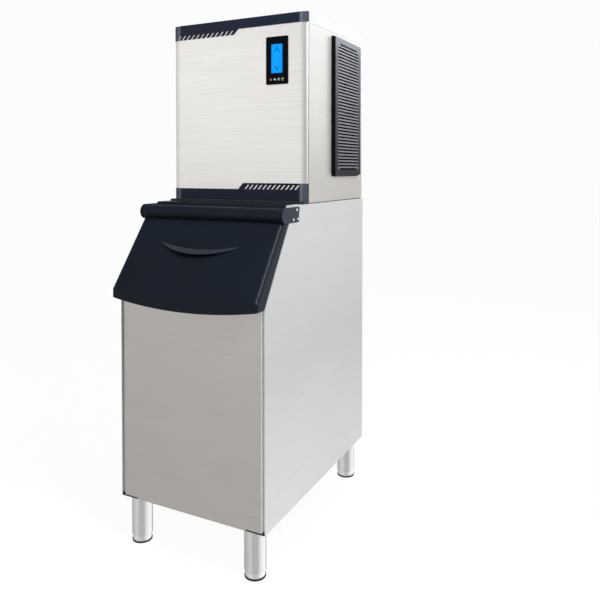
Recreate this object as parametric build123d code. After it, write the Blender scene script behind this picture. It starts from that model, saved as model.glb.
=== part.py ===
from build123d import *
from math import atan2, cos, radians, sin, sqrt, tan
import os

# Ice machine: a modular ice-making head on an insulated storage bin.
# Millimetres, +Z up, front of the machine towards -Y.
# While modelling, Y = 0 is the front face of the bin and Z = 0 is the floor.
# The finished pieces are moved along Y so that the origin is at the middle of the footprint.

# Cabinet
body_width = 560.0
leg_height = 155.0
bin_depth = 838.0
bin_height = 998.0
head_depth = 523.0
head_height = 655.0
head_setback = 301.0
seal_thickness = 3.0
steel = 1.2
skin = 0.8
seam = 0.8

# Bin front, side profile and door seat
slope_angle = 33.0
bin_front_height = 692.0
front_panel_inset = 9.5
front_panel_edge_radius = 8.0
front_panel_return = 14.0
pan_thickness = 5.0
shoe_length = 58.0

# Insulation, liner, openings and drain of the bin
wall_thickness = 40.0
liner_thickness = 3.0
mouth_margin = 20.0
mouth_start = 34.0
mouth_end = 262.0
drop_width = 380.0
drop_depth = 96.0
drop_offset = 22.0
drain_inset = 120.0
drain_radius = 13.2
drain_neck_radius = 12.6
drain_bore = 9.0
drain_gap = 0.4
drain_drop = 50.0
drain_flange = 3.0
drain_flange_radius = 24.0
gasket_edge = 4.0
gasket_width = 18.0
gasket_lip_depth = 25.0
gasket_lip_height = 8.5

# Door
door_gap = 3.0
door_side_gap = 0.5
door_wall = 4.0
door_front_wall = 12.0
door_liner_thickness = 3.0
door_edge_radius = 14.0
lip_corner_radius = 11.0
hinge_along = 303.0
hinge_standoff = 40.0
barrel_radius = 23.5
barrel_end_radius = 3.0
outer_top_along = 283.0
outer_top_standoff = 38.0
outer_bottom_standoff = 55.8
lip_height_corner = 31.0
lip_bow = 24.5
lip_bulge = 4.0
pocket_margin = 24.0
door_seal_width = 12.0
door_seal_gap = 0.3

# Grip on the door
grip_half_width = 162.0
grip_tip_height = 187.0
grip_upper_height = 165.0
grip_lower_height = 139.0
grip_rise = 14.0
grip_hollow_half_width = 80.0
grip_hollow_depth = 14.0
grip_wall = 2.4

# Hinge plates, screws and tie plates
plate_thickness = 4.0
plate_nose_radius = 25.5
plate_reach = 96.0
plate_screws_at = [(77.5, 16.2), (53.0, -15.0), (84.5, -14.2)]
pin_radius = 7.0
pin_length = 26.0
running_gap = 0.06
plate_screw_radius = 4.6
plate_screw_head = 2.4
screw_shank = 2.0
tie_length = 58.0
tie_height = 18.0
tie_thickness = 2.0
tie_gap = 9.0
tie_drop = 6.0

# Legs and feet
leg_radius = 35.0
leg_wall = 2.0
leg_inset_side = 56.0
leg_inset_front = 38.0
leg_inset_rear = 42.0
foot_visible = 18.0
foot_radius = 32.0
pad_height = 5.0
pad_radius = 34.0
stem_radius = 8.0
stem_length = 62.0
nut_length = 20.0

# Head front
trim_thickness = 2.0
corner_radius = 50.0
corner_width = 30.0
corner_end = 12.0
top_trim_short = 35.0
top_trim_tall = 54.5
top_step_x = -16.0
bottom_trim_short = 45.0
bottom_trim_tall = 67.0
bottom_step_x = 3.5
step_run = 20.0
trim_cap = 3.0
slot_count = 12
slot_width = 7.5
slot_lean = 14.0
slot_height = 15.5
top_slot_first = -266.0
top_slot_pitch = 20.8
bottom_slot_first = 28.0
bottom_slot_pitch = 18.2

# Head sides, lid, base and grilles
lid_flange_front = 37.0
lid_flange_rear = 26.0
rim_height = 20.0
grille_front = 205.0
grille_length = 272.0
grille_bottom = 89.0
grille_height = 522.0
grille_depth = 15.0
grille_draft = 20.0
grille_corner = 14.0
grille_wall = 2.5
grille_flange = 12.0
louvre_count = 40
louvre_pitch = 11.9
louvre_height = 6.0
louvre_length = 210.0
louvre_end_radius = 16.0

# Control panel
bezel_x = 162.0
bezel_width = 85.6
bezel_height = 166.5
bezel_bottom = 412.0
bezel_corner = 5.0
bezel_wall = 2.5
bezel_proud = 1.0
bezel_depth = 24.0
bezel_body_inset = 4.0
display_width = 45.0
display_height = 102.6
display_bottom = 38.4
display_depth = 7.0
key_names = ["power_key", "wash_key", "timer_key", "lamp_key"]
key_width = 11.0
key_height = 13.0
key_pitch = 15.4
key_centre = 17.5
key_gap = 0.3
key_proud = 0.5
key_travel = 1.0
key_flange = 1.2
board_thickness = 2.0

# Inside the head: wet side
partition_offset = 199.0
frame_half_width = 205.0
frame_bottom = 258.0
frame_top = 590.0
frame_wall = 8.0
frame_depth = 58.0
cell_columns = 14
cell_rows = 12
cell_depth = 22.0
cell_wall = 1.6
curtain_thickness = 2.5
curtain_pin_radius = 4.0
curtain_bottom = 167.0
ear_radius = 9.0
ear_gap = 0.5
trough_overhang = 10.0
trough_bottom = 100.0
trough_height = 62.0
trough_depth = 74.0
trough_wall = 2.5
pump_inset = 40.0
pump_radius = 29.0
pump_length = 62.0
impeller_radius = 15.0
volute_radius = 21.0
volute_height = 16.0
pipe_radius = 11.0
float_inset = 55.0
float_drop = 82.0
float_arm_length = 62.0
float_radius = 17.0
float_height = 22.0
float_pin_radius = 2.5
float_pin_front = 8.0
float_pin_head = 2.0
float_body_front = 12.0
float_body_half_width = 16.0
float_body_drop = 12.0
float_body_rise = 18.0
float_eye_radius = 6.0
float_eye_half_width = 4.0
float_arm_half_width = 3.0
float_arm_half_height = 2.0

# Inside the head: refrigeration side
tube_radius = 5.0
tube_run = 32.0
compressor_x = -140.0
compressor_offset = 150.0
compressor_radius = 82.0
compressor_height = 205.0
foot_plate_x = 96.0
foot_plate_y = 74.0
foot_plate_thickness = 3.0
grommet_height = 12.0
grommet_radius = 11.0
stub_spacing = 30.0
stub_height = 12.0
condenser_x = 212.0
condenser_width = 50.0
condenser_offset = 16.0
condenser_length = 248.0
condenser_height = 560.0
condenser_core_bottom = 40.0
condenser_bends = 6
fan_height = 300.0
fan_drop = 330.0
duct_radius = 118.0
duct_depth = 34.0
duct_wall = 3.0
shroud_thickness = 3.0
bracket_thickness = 4.0
bracket_width = 14.0
bracket_overlap = 2.0
fan_tip_gap = 4.0
shroud_bore_gap = 2.0
blade_count = 5
blade_chord = 44.0
blade_pitch = 35.0
hub_radius = 27.0
hub_length = 28.0
hub_inset = 2.0
blade_thickness = 2.0
blade_root = 3.0
shaft_front = 6.0
shaft_end_gap = 1.0
shaft_radius = 4.0
motor_radius = 44.0
motor_length = 62.0
motor_edge_radius = 6.0
drier_x = 40.0
drier_radius = 16.0
drier_length = 120.0
drier_low_offset = 160.0
drier_stub = 10.0
drier_stub_radius = 6.0
gas_line_offset = 345.0
discharge_rise = 150.0
suction_rise = 60.0
feed_rise = 45.0
gas_branch = 60.0
valve_offset = 40.0
valve_half_width = 12.0
valve_half_length = 16.0
valve_neck = 4.0
coil_radius = 18.0
coil_height = 34.0

# Services at the back
inlet_x = -250.0
inlet_radius = 13.2
inlet_neck_radius = 12.6
inlet_reach = 13.5
inlet_rise = 6.0
inlet_wall = 3.0
inlet_nut_margin = 5.0
inlet_nut_length = 8.0
gland_x = -200.0
gland_height = 560.0
gland_radius = 13.0
gland_thread = 8.0
gland_bore = 5.0
gland_reach = 13.5
gland_nut = 6.0
gland_step = 3.0
gland_lock = 5.0
box_width = 80.0
box_depth = 100.0
box_height = 140.0

# Derived positions
half = body_width / 2
inner_half = half - steel
mouth_half = half - wall_thickness - mouth_margin
trough_half_width = frame_half_width + trough_overhang
pump_x = frame_half_width - pump_inset
float_x = float_inset - frame_half_width
slope = radians(slope_angle)
bin_bottom = leg_height
pan_top = bin_bottom + pan_thickness
deck_z = leg_height + bin_height
front_top_z = bin_bottom + bin_front_height
drain_y = bin_depth - drain_inset
head_bottom = deck_z + seal_thickness
head_top = head_bottom + head_height
head_front = head_setback
head_back = head_setback + head_depth
base_top = head_bottom + steel
seam_y = head_front + corner_end
drop_front = head_front + drop_offset
bezel_z = head_bottom + bezel_bottom
key_z = bezel_z + key_centre
key_places = [bezel_x + (index - (len(key_names) - 1) / 2) * key_pitch for index in range(len(key_names))]
partition_y = head_front + partition_offset
pivot_y = partition_y - frame_depth - ear_radius - curtain_pin_radius
pivot_z = head_bottom + frame_top - ear_radius
trough_top = head_bottom + trough_bottom + trough_height
pump_y = partition_y - trough_depth / 2
float_y = partition_y - trough_depth / 2
float_z = head_bottom + frame_bottom - float_drop
inlet_z = float_z + inlet_rise
compressor_mid = partition_y + compressor_offset
pot_top = base_top + grommet_height + compressor_height + stub_height
discharge_x = compressor_x + stub_spacing
suction_x = compressor_x - stub_spacing
condenser_y = partition_y + condenser_offset
duct_x = condenser_x - shroud_thickness - duct_depth
bend_x = condenser_x + condenser_width / 4
liquid_x = condenser_x + 3 * condenser_width / 4
fan_y = condenser_y + condenser_length / 2
fan_z = head_top - fan_drop
drier_y = head_back - steel - drier_radius
drier_low = base_top + drier_low_offset
drier_top = drier_low + drier_length
gas_z = base_top + gas_line_offset
valve_y = partition_y + steel + valve_offset
gland_z = head_bottom + gland_height


def on_slope(along, out):
    """Point (y, z) at a distance up the door seat and out from it."""
    return (along * sin(slope) - out * cos(slope), front_top_z + along * cos(slope) + out * sin(slope))


hinge_y, hinge_z = on_slope(hinge_along, hinge_standoff)
crease_y, crease_z = on_slope(0.0, outer_bottom_standoff)
front_y = crease_y - lip_bulge
middle_y = (front_y + bin_depth) / 2


def block(x0, x1, y0, y1, z0, z1):
    return Pos((x0 + x1) / 2, (y0 + y1) / 2, (z0 + z1) / 2) * Box(x1 - x0, y1 - y0, z1 - z0)


def rod_x(x0, x1, y, z, radius):
    return Pos((x0 + x1) / 2, y, z) * Rot(0, 90, 0) * Cylinder(radius, x1 - x0)


def rod_y(x, y0, y1, z, radius):
    return Pos(x, (y0 + y1) / 2, z) * Rot(90, 0, 0) * Cylinder(radius, y1 - y0)


def rod_z(x, y, z0, z1, radius):
    return Pos(x, y, (z0 + z1) / 2) * Cylinder(radius, z1 - z0)


def side_solid(x0, x1, points):
    """Outline of (y, z) points, extruded from x0 to x1."""
    return extrude(Plane.YZ.offset(x0) * Polygon(*points, align=None), x1 - x0, dir=(1, 0, 0))


def front_solid(y0, y1, sketch):
    """Sketch in (x, z), extruded from y0 back to y1."""
    return extrude(Plane.XZ.offset(-y1) * sketch, y1 - y0, dir=(0, -1, 0))


def plan_solid(z0, z1, sketch):
    """Sketch in (x, y), extruded from z0 up to z1."""
    return extrude(Plane.XY.offset(z0) * sketch, z1 - z0, dir=(0, 0, 1))


def mirrored(part):
    return mirror(part, about=Plane.YZ)


parts = {}


# Bin shell

def bin_outline(inset, bottom_z):
    """Side outline of the bin with its faces moved inwards, as (y, z) points."""
    along_low = inset * (1 - cos(slope)) / sin(slope)
    along_top = (deck_z - front_top_z - inset * (1 - sin(slope))) / cos(slope)
    back = bin_depth - inset
    return [(inset, bottom_z), (back, bottom_z), (back, deck_z - inset),
            on_slope(along_top, -inset), on_slope(along_low, -inset)]


def slope_block(half_x, along0, along1, out0, out1):
    """Block squared to the door seat."""
    corners = [on_slope(along0, out0), on_slope(along1, out0), on_slope(along1, out1), on_slope(along0, out1)]
    return side_solid(-half_x, half_x, corners)


def drop_block(margin, z0, z1):
    """The passage that the ice falls through, enlarged by a margin."""
    return block(-drop_width / 2 - margin, drop_width / 2 + margin, drop_front - margin,
                 drop_front + drop_depth + margin, z0, z1)


def front_sheet_region(inset):
    """Plan area behind the bin's front panel, with its rolled edges."""
    edge = half - front_panel_inset - inset
    radius = front_panel_edge_radius - inset
    back = front_panel_return
    front = Pos(0, (inset + back + radius) / 2) * RectangleRounded(2 * edge, back + radius - inset, radius)
    return front & Pos(0, (inset + back) / 2) * Rectangle(2 * edge, back - inset)


def make_bin_front_panel():
    ring = front_sheet_region(0) - front_sheet_region(steel)
    sheet = plan_solid(pan_top, front_top_z - skin / 2, ring)
    apron_half = half - front_panel_inset - shoe_length
    return sheet + block(-apron_half, apron_half, 0, steel, bin_bottom, pan_top)


def make_bin_side():
    return side_solid(inner_half, half, bin_outline(0, bin_bottom))


def make_bin_deck():
    outer = bin_outline(0, bin_bottom)
    inner = bin_outline(steel, bin_bottom)
    back = bin_depth - steel
    sheet = side_solid(-inner_half, inner_half,
                       [(back, deck_z), outer[3], outer[4], inner[4], inner[3], (back, deck_z - steel)])
    sheet -= drop_block(liner_thickness, deck_z - wall_thickness, deck_z + wall_thickness)
    return sheet - slope_block(mouth_half + liner_thickness, mouth_start - liner_thickness,
                               mouth_end + liner_thickness, -wall_thickness, wall_thickness)


def make_bin_rear_panel():
    return block(-inner_half, inner_half, bin_depth - steel, bin_depth, bin_bottom, deck_z)


def make_bin_bottom_pan():
    pan = block(-inner_half, inner_half, steel, bin_depth - steel, bin_bottom, pan_top)
    for side in (-1, 1):
        ends = sorted((side * (half - front_panel_inset - shoe_length), side * inner_half))
        pan += block(ends[0], ends[1], 0, steel, bin_bottom, pan_top)
    return pan - rod_z(0, drain_y, bin_bottom, pan_top, drain_neck_radius + drain_gap)


def liner_form(offset):
    """Bin cavity with its mouth and drop passage, grown outwards by an offset."""
    inset = wall_thickness + liner_thickness - offset
    x = half - inset
    form = side_solid(-x, x, bin_outline(inset, bin_bottom + inset))
    reach = wall_thickness + 2 * liner_thickness
    form += slope_block(mouth_half + offset, mouth_start - offset, mouth_end + offset, -reach, 0)
    return form + drop_block(offset, deck_z - reach, deck_z)


def make_bin_liner():
    floor_z = bin_bottom + wall_thickness
    liner = liner_form(liner_thickness) - liner_form(0)
    return liner - rod_z(0, drain_y, floor_z, floor_z + liner_thickness, drain_neck_radius + drain_gap)


def make_bin_insulation():
    """Foam boards laid face to face: two sides, floor, rear, front, door seat and top."""
    foam = side_solid(-inner_half, inner_half, bin_outline(steel, pan_top))
    front = front_sheet_region(steel)
    corners = Pos(0, front_panel_edge_radius / 2) * Rectangle(2 * inner_half, front_panel_edge_radius)
    foam -= plan_solid(pan_top, deck_z, corners - front)
    foam -= make_bin_front_panel()
    foam -= liner_form(liner_thickness)
    foam -= rod_z(0, drain_y, pan_top, bin_bottom + wall_thickness, drain_neck_radius + drain_gap)
    cavity = bin_outline(wall_thickness, bin_bottom + wall_thickness)
    floor_z, knee_z = cavity[0][1], cavity[4][1]
    rear_y, ridge_y = cavity[1][0], cavity[3][0]
    inner = half - wall_thickness
    boards = [block(inner, half, 0, bin_depth, bin_bottom, deck_z),
              block(-half, -inner, 0, bin_depth, bin_bottom, deck_z),
              block(-inner, inner, 0, bin_depth, bin_bottom, floor_z),
              block(-inner, inner, rear_y, bin_depth, floor_z, deck_z),
              block(-inner, inner, 0, rear_y, floor_z, knee_z),
              block(-inner, inner, 0, ridge_y, knee_z, deck_z),
              block(-inner, inner, ridge_y, rear_y, knee_z, deck_z)]
    return Compound([foam & board for board in boards])


def make_drain_fitting():
    floor_z = bin_bottom + wall_thickness + liner_thickness
    flange = rod_z(0, drain_y, floor_z, floor_z + drain_flange, drain_flange_radius)
    stub = rod_z(0, drain_y, bin_bottom - drain_drop, bin_bottom, drain_radius)
    stub += rod_z(0, drain_y, bin_bottom, floor_z, drain_neck_radius)
    bore = rod_z(0, drain_y, bin_bottom - drain_drop, floor_z + drain_flange, drain_bore)
    return flange + stub - bore


def make_deck_gasket():
    margin = gasket_edge
    outer = block(-half + margin, half - margin, head_front + margin, head_back - margin,
                  deck_z, head_bottom)
    hole_x = half - margin - gasket_width
    inner = block(-hole_x, hole_x, head_front + margin + gasket_width, head_back - margin - gasket_width,
                  deck_z, head_bottom)
    lip = block(-half + skin, half - skin, head_front - gasket_lip_depth, head_front - door_seal_gap,
                deck_z, deck_z + gasket_lip_height)
    bridge = block(-half + margin, half - margin, head_front - margin, head_front + margin,
                   deck_z, head_bottom)
    return outer - inner + lip + bridge


# Door

def outer_standoff(along):
    """Distance from the door seat to the door's outer face."""
    return outer_bottom_standoff + (outer_top_standoff - outer_bottom_standoff) * along / outer_top_along


def make_door_outside():
    half_x = half - door_side_gap
    past = door_gap
    low_z = crease_z - lip_height_corner - 2 * lip_bow
    top_y, top_z = on_slope(outer_top_along, outer_top_standoff)
    nose_y = front_y - past
    nose_z = crease_z + (nose_y - crease_y) * (top_z - crease_z) / (top_y - crease_y)
    seat_low = on_slope(-door_gap * (1 - cos(slope)) / sin(slope), door_gap)
    outline = [on_slope(hinge_along, door_gap), seat_low, (-door_gap, low_z), (nose_y, low_z),
               (nose_y, nose_z), on_slope(hinge_along, outer_standoff(hinge_along))]
    slab = side_solid(-half_x - past, half_x + past, outline)
    plan = make_face(Curve() + [
        ThreePointArc((-half_x, crease_y), (0, front_y), (half_x, crease_y)),
        Polyline((half_x, crease_y), (half_x, head_front), (-half_x, head_front), (-half_x, crease_y))])
    plan = fillet(plan.vertices().sort_by(Axis.Y)[:2], lip_corner_radius)
    slab &= plan_solid(low_z - past, deck_z, plan)
    corner_z = crease_z - lip_height_corner
    wide = half_x + past
    face = make_face(Curve() + [
        ThreePointArc((-wide, corner_z), (0, corner_z - lip_bow), (wide, corner_z)),
        Polyline((wide, corner_z), (wide, deck_z), (-wide, deck_z), (-wide, corner_z))])
    slab &= front_solid(2 * front_y, head_front, face)
    section = Rectangle(2 * half_x, 4 * outer_bottom_standoff)
    section = fillet(section.vertices().sort_by(Axis.Y)[-2:], door_edge_radius)
    reach = 2 * hinge_along
    tunnel = extrude(Plane.XZ.offset(-reach) * Pos(0, -2 * outer_bottom_standoff) * section, 2 * reach)
    return slab & door_plane() * tunnel


def door_plane():
    """Outer face of the door: X across, Y up the face, origin on the crease line."""
    top_y, top_z = on_slope(outer_top_along, outer_top_standoff)
    length = sqrt((top_y - crease_y) ** 2 + (top_z - crease_z) ** 2)
    normal = (0, -(top_z - crease_z) / length, (top_y - crease_y) / length)
    return Plane(origin=(0, crease_y, crease_z), x_dir=(1, 0, 0), z_dir=normal)


def arc_radius(sagitta):
    return (grip_half_width ** 2 + sagitta ** 2) / (2 * sagitta)


def grip_ramp(drop):
    """Solid under a crescent's ramp, which rises from the upper arc; drop lowers the whole ramp."""
    upper = arc_radius(grip_tip_height - grip_upper_height)
    span = grip_upper_height - grip_lower_height
    foot = -grip_rise / 2
    crest = grip_rise - drop
    profile = make_face(Curve() + [
        ThreePointArc((upper, -drop), (upper + span / 2, grip_rise * 0.36 - drop), (upper + span, crest)),
        Polyline((upper + span, crest), (upper + 2 * span, crest), (upper + 2 * span, foot), (upper, foot),
                 (upper, -drop))])
    return Pos(0, grip_upper_height + upper, 0) * revolve(Plane.XZ * profile, Axis.Z)


def make_grip():
    """Raised crescent that rises from the upper arc and ends sharply at the lower arc."""
    lower = arc_radius(grip_tip_height - grip_lower_height)
    disc = Pos(0, grip_lower_height + lower, 0) * Cylinder(lower, 4 * grip_rise)
    return door_plane() * (grip_ramp(0) & disc & Box(2 * grip_half_width, 4 * lower, 4 * grip_rise))


def make_grip_hollow():
    """Finger space inside the crescent, open at its lower edge."""
    lower = arc_radius(grip_tip_height - grip_lower_height)
    inside = lower - grip_hollow_depth
    half_rise = grip_rise / 2
    points = [(inside, -half_rise), (lower - 3, -half_rise), (lower + 1, skin), (lower + 1, 2 * grip_rise),
              (inside, 2 * grip_rise)]
    ring = revolve(Plane.XZ * Polygon(*points, align=None), Axis.Z)
    ring = Pos(0, grip_lower_height + lower, 0) * ring
    room = grip_ramp(grip_wall) & ring
    return door_plane() * (room & Box(2 * grip_hollow_half_width, 2 * grip_tip_height, 4 * grip_rise))


def make_barrel():
    half_x = half - door_side_gap
    barrel = rod_x(-half_x, half_x, hinge_y, hinge_z, barrel_radius)
    return fillet(barrel.edges().filter_by(GeomType.CIRCLE), barrel_end_radius)


def pocket_limits():
    return pocket_margin, hinge_along - barrel_radius - pocket_margin / 2


def make_door_shell():
    low, high = pocket_limits()
    pocket_half = half - door_side_gap - door_edge_radius - door_wall
    pocket = side_solid(-pocket_half, pocket_half, [
        on_slope(low, 0), on_slope(high, 0), on_slope(high, outer_standoff(high) - door_front_wall),
        on_slope(low, outer_standoff(low) - door_front_wall)])
    shell = make_door_outside() + make_barrel() + make_grip() - make_grip_hollow() - pocket
    for side in (-1, 1):
        ends = sorted((side * half, side * (half - pin_length - running_gap)))
        shell -= rod_x(ends[0], ends[1], hinge_y, hinge_z, pin_radius + running_gap)
    return shell


def make_door_liner():
    low, high = pocket_limits()
    pocket_half = half - door_side_gap - door_edge_radius - door_wall
    gap = door_seal_gap
    return slope_block(pocket_half - gap, low + gap, high - gap, door_gap, door_gap + door_liner_thickness)


def make_door_gasket():
    low, high = mouth_start - door_seal_width / 3, mouth_end + door_seal_width / 3
    half_x = mouth_half + door_seal_width / 3
    outer = slope_block(half_x + door_seal_width, low - door_seal_width, high + door_seal_width,
                        door_seal_gap, door_gap)
    return outer - slope_block(half_x, low, high, door_seal_gap, door_gap)


def make_hinge_plate():
    reach = block(half, half + plate_thickness, hinge_y, hinge_y + plate_reach,
                  hinge_z - plate_nose_radius, hinge_z + plate_nose_radius)
    nose = rod_x(half, half + plate_thickness, hinge_y, hinge_z, plate_nose_radius)
    plate = reach + nose
    for dy, dz in plate_screws_at:
        plate -= rod_x(half, half + plate_thickness, hinge_y + dy, hinge_z + dz, screw_shank + running_gap)
    return plate + rod_x(half - pin_length, half, hinge_y, hinge_z, pin_radius)


def make_plate_screws():
    screws = []
    for dy, dz in plate_screws_at:
        face = half + plate_thickness
        head = rod_x(face, face + plate_screw_head, hinge_y + dy, hinge_z + dz, plate_screw_radius)
        head = fillet(head.edges().filter_by(GeomType.CIRCLE).sort_by(Axis.X)[-1:], plate_screw_head / 2)
        screw = head + rod_x(half, face, hinge_y + dy, hinge_z + dz, screw_shank)
        screws += [screw, mirrored(screw)]
    return Compound(screws)


def make_tie_plates():
    front = hinge_y + plate_reach + tie_gap
    tie = block(half, half + tie_thickness, front, front + tie_length,
                deck_z - tie_drop - tie_height, deck_z - tie_drop)
    return Compound([tie, mirrored(tie)])


# Legs and feet

def make_leg(x, y):
    foot_top = pad_height + foot_visible
    tube = rod_z(x, y, foot_top, leg_height, leg_radius)
    tube -= rod_z(x, y, foot_top + nut_length, leg_height - 2 * leg_wall, leg_radius - leg_wall)
    return tube - rod_z(x, y, foot_top, leg_height - 2 * leg_wall, stem_radius + running_gap)


def make_foot(x, y):
    foot_top = pad_height + foot_visible
    foot = rod_z(x, y, 0, pad_height, pad_radius)
    foot += rod_z(x, y, pad_height, foot_top, foot_radius)
    return foot + rod_z(x, y, foot_top, foot_top + stem_length, stem_radius)


# Head casing

def head_front_region(inset, back):
    """Plan area of the head's front, moved inwards, closed at a given y."""
    radius = corner_radius - inset
    arc_x = half - corner_width
    arc_y = head_front + corner_radius
    end_x = half - inset
    end_y = arc_y - sqrt(radius ** 2 - (end_x - arc_x) ** 2)
    turn = atan2(arc_y - end_y, end_x - arc_x)
    middle = (turn + radians(90)) / 2
    mid_x = arc_x + radius * cos(middle)
    mid_y = arc_y - radius * sin(middle)
    return make_face(Curve() + [
        Line((-end_x, back), (-end_x, end_y)),
        ThreePointArc((-end_x, end_y), (-mid_x, mid_y), (-arc_x, head_front + inset)),
        Line((-arc_x, head_front + inset), (arc_x, head_front + inset)),
        ThreePointArc((arc_x, head_front + inset), (mid_x, mid_y), (end_x, end_y)),
        Line((end_x, end_y), (end_x, back)),
        Line((end_x, back), (-end_x, back))])


def front_ring(inset, thickness, z0, z1):
    ring = head_front_region(inset, seam_y) - head_front_region(inset + thickness, seam_y)
    return plan_solid(z0, z1, ring)


def slanted_slots(first_x, pitch, low_z):
    """Row of leaning slots through a trim."""
    row = []
    for index in range(slot_count):
        x = first_x + index * pitch
        top_x, top_z = x + slot_lean, low_z + slot_height
        outline = Polygon((x, low_z), (x + slot_width, low_z), (top_x + slot_width, top_z), (top_x, top_z),
                          align=None)
        row.append(front_solid(head_front - corner_width, head_front + corner_end, outline))
    return row


def make_front_trim_top():
    tall_z = head_top - top_trim_tall
    short_z = head_top - top_trim_short
    outline = Polygon((-half, tall_z), (top_step_x, tall_z), (top_step_x + step_run, short_z),
                      (half, short_z), (half, head_top), (-half, head_top), align=None)
    trim = front_ring(0, trim_thickness, tall_z, head_top)
    trim &= front_solid(head_front, seam_y, outline)
    cap = plan_solid(head_top - trim_cap, head_top, head_front_region(0, seam_y))
    trim += cap
    for slot in slanted_slots(top_slot_first, top_slot_pitch, tall_z):
        trim -= slot
    return trim


def make_front_trim_bottom():
    tall_z = head_bottom + bottom_trim_tall
    short_z = head_bottom + bottom_trim_short
    outline = Polygon((-half, head_bottom), (half, head_bottom), (half, tall_z),
                      (bottom_step_x + step_run, tall_z), (bottom_step_x, short_z), (-half, short_z),
                      align=None)
    trim = front_ring(0, trim_thickness, head_bottom, tall_z) & front_solid(head_front, seam_y, outline)
    for slot in slanted_slots(bottom_slot_first, bottom_slot_pitch, short_z):
        trim -= slot
    return trim


def bezel_block(inset, y0, y1):
    sketch = Pos(bezel_x, bezel_z + bezel_height / 2) * RectangleRounded(
        bezel_width - 2 * inset, bezel_height - 2 * inset, bezel_corner)
    return front_solid(y0, y1, sketch)


def make_head_front_panel():
    panel = front_ring(trim_thickness, steel, head_bottom, head_top - trim_cap)
    return panel - bezel_block(bezel_body_inset - key_gap, head_front, seam_y)


def grille_mid():
    return head_front + grille_front + grille_length / 2, head_bottom + grille_bottom + grille_height / 2


def grille_form(inset, depth):
    y, z = grille_mid()
    outline = RectangleRounded(grille_length - 2 * inset, grille_height - 2 * inset, grille_corner - inset)
    return extrude(Plane.YZ.offset(half) * Pos(y, z) * outline, depth, taper=grille_draft)


def make_vent_grille():
    y, z = grille_mid()
    grille = grille_form(0, grille_depth) - grille_form(grille_wall, grille_depth - grille_wall)
    slots = Sketch()
    field = (louvre_count - 1) * louvre_pitch
    for index in range(louvre_count):
        end_distance = min(index, louvre_count - 1 - index) * louvre_pitch
        fall = max(louvre_end_radius - end_distance, 0)
        shorten = 2 * (louvre_end_radius - sqrt(louvre_end_radius ** 2 - fall ** 2))
        shorten = min(shorten, louvre_length / 3)
        slot = SlotOverall(louvre_length - shorten, louvre_height)
        slots += Pos(y, z - field / 2 + index * louvre_pitch) * slot
    return grille - extrude(Plane.YZ.offset(half) * slots, 2 * grille_depth)


def make_head_side():
    y0 = seam_y + seam
    front_z = head_top - lid_flange_front - seam
    rear_z = head_top - lid_flange_rear - seam
    panel = side_solid(inner_half, half, [(y0, head_bottom), (head_back, head_bottom), (head_back, rear_z),
                                          (y0, front_z)])
    y, z = grille_mid()
    outline = RectangleRounded(grille_length - 2 * grille_flange, grille_height - 2 * grille_flange,
                               grille_corner)
    return panel - extrude(Plane.YZ.offset(inner_half) * Pos(y, z) * outline, steel)


def make_head_lid():
    y0 = seam_y + seam
    lid = side_solid(-half, half, [(y0, head_top), (head_back, head_top),
                                   (head_back, head_top - lid_flange_rear),
                                   (y0, head_top - lid_flange_front)])
    return lid - block(-inner_half, inner_half, y0, head_back - steel, deck_z, head_top - steel)


def make_head_rear_panel():
    top = head_top - lid_flange_rear - seam
    panel = block(-inner_half, inner_half, head_back - steel, head_back, head_bottom, top)
    panel -= rod_y(gland_x, head_back - steel, head_back, gland_z, gland_thread + drain_gap)
    return panel - rod_y(inlet_x, head_back - steel, head_back, inlet_z, inlet_neck_radius + drain_gap)


def make_head_base_pan():
    inside = trim_thickness + steel
    back = head_back - steel
    floor = plan_solid(head_bottom, base_top, head_front_region(inside, back))
    floor += block(-inner_half, inner_half, seam_y + seam, back, head_bottom, base_top)
    y0 = seam_y + seam
    rim = block(-inner_half, inner_half, y0, back, base_top, base_top + rim_height)
    rim -= block(-inner_half + steel, inner_half - steel, y0, back - steel, base_top, base_top + rim_height)
    return floor + rim - drop_block(0, head_bottom, base_top)


def make_partition_wall():
    half_x = inner_half - steel - door_seal_gap
    return block(-half_x, half_x, partition_y, partition_y + steel, base_top, head_top - 2 * steel)


# Control panel

def make_control_bezel():
    y0 = head_front - bezel_proud
    seat = head_front + trim_thickness
    bezel = bezel_block(0, y0, seat) + bezel_block(bezel_body_inset, seat, y0 + bezel_depth)
    bezel -= bezel_block(bezel_body_inset + bezel_wall, y0 + bezel_wall, y0 + bezel_depth)
    window_z = bezel_z + display_bottom
    gap = key_gap
    bezel -= block(bezel_x - display_width / 2 - gap, bezel_x + display_width / 2 + gap, y0, y0 + bezel_wall,
                   window_z - gap, window_z + display_height + gap)
    for x in key_places:
        bezel -= block(x - key_width / 2 - gap, x + key_width / 2 + gap, y0, y0 + bezel_wall,
                       key_z - key_height / 2 - gap, key_z + key_height / 2 + gap)
    return bezel


def make_display_module():
    y0 = head_front - bezel_proud + key_gap
    window_z = bezel_z + display_bottom
    glass = block(bezel_x - display_width / 2, bezel_x + display_width / 2, y0, y0 + display_depth,
                  window_z, window_z + display_height)
    margin = bezel_body_inset + bezel_wall + key_gap
    board = block(bezel_x - bezel_width / 2 + margin, bezel_x + bezel_width / 2 - margin,
                  y0 + display_depth, y0 + display_depth + board_thickness,
                  bezel_z + margin + bezel_corner, bezel_z + bezel_height - margin - bezel_corner)
    return glass + board


def make_key(x):
    y0 = head_front - bezel_proud
    board_y = y0 + key_gap + display_depth
    flange_y = y0 + bezel_wall + skin / 4
    cap = block(x - key_width / 2, x + key_width / 2, y0 - key_proud, board_y - key_travel - skin / 4,
                key_z - key_height / 2, key_z + key_height / 2)
    rim = skin
    return cap + block(x - key_width / 2 - rim, x + key_width / 2 + rim, flange_y, flange_y + key_flange,
                       key_z - key_height / 2 - rim, key_z + key_height / 2 + rim)


# Wet side

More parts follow.
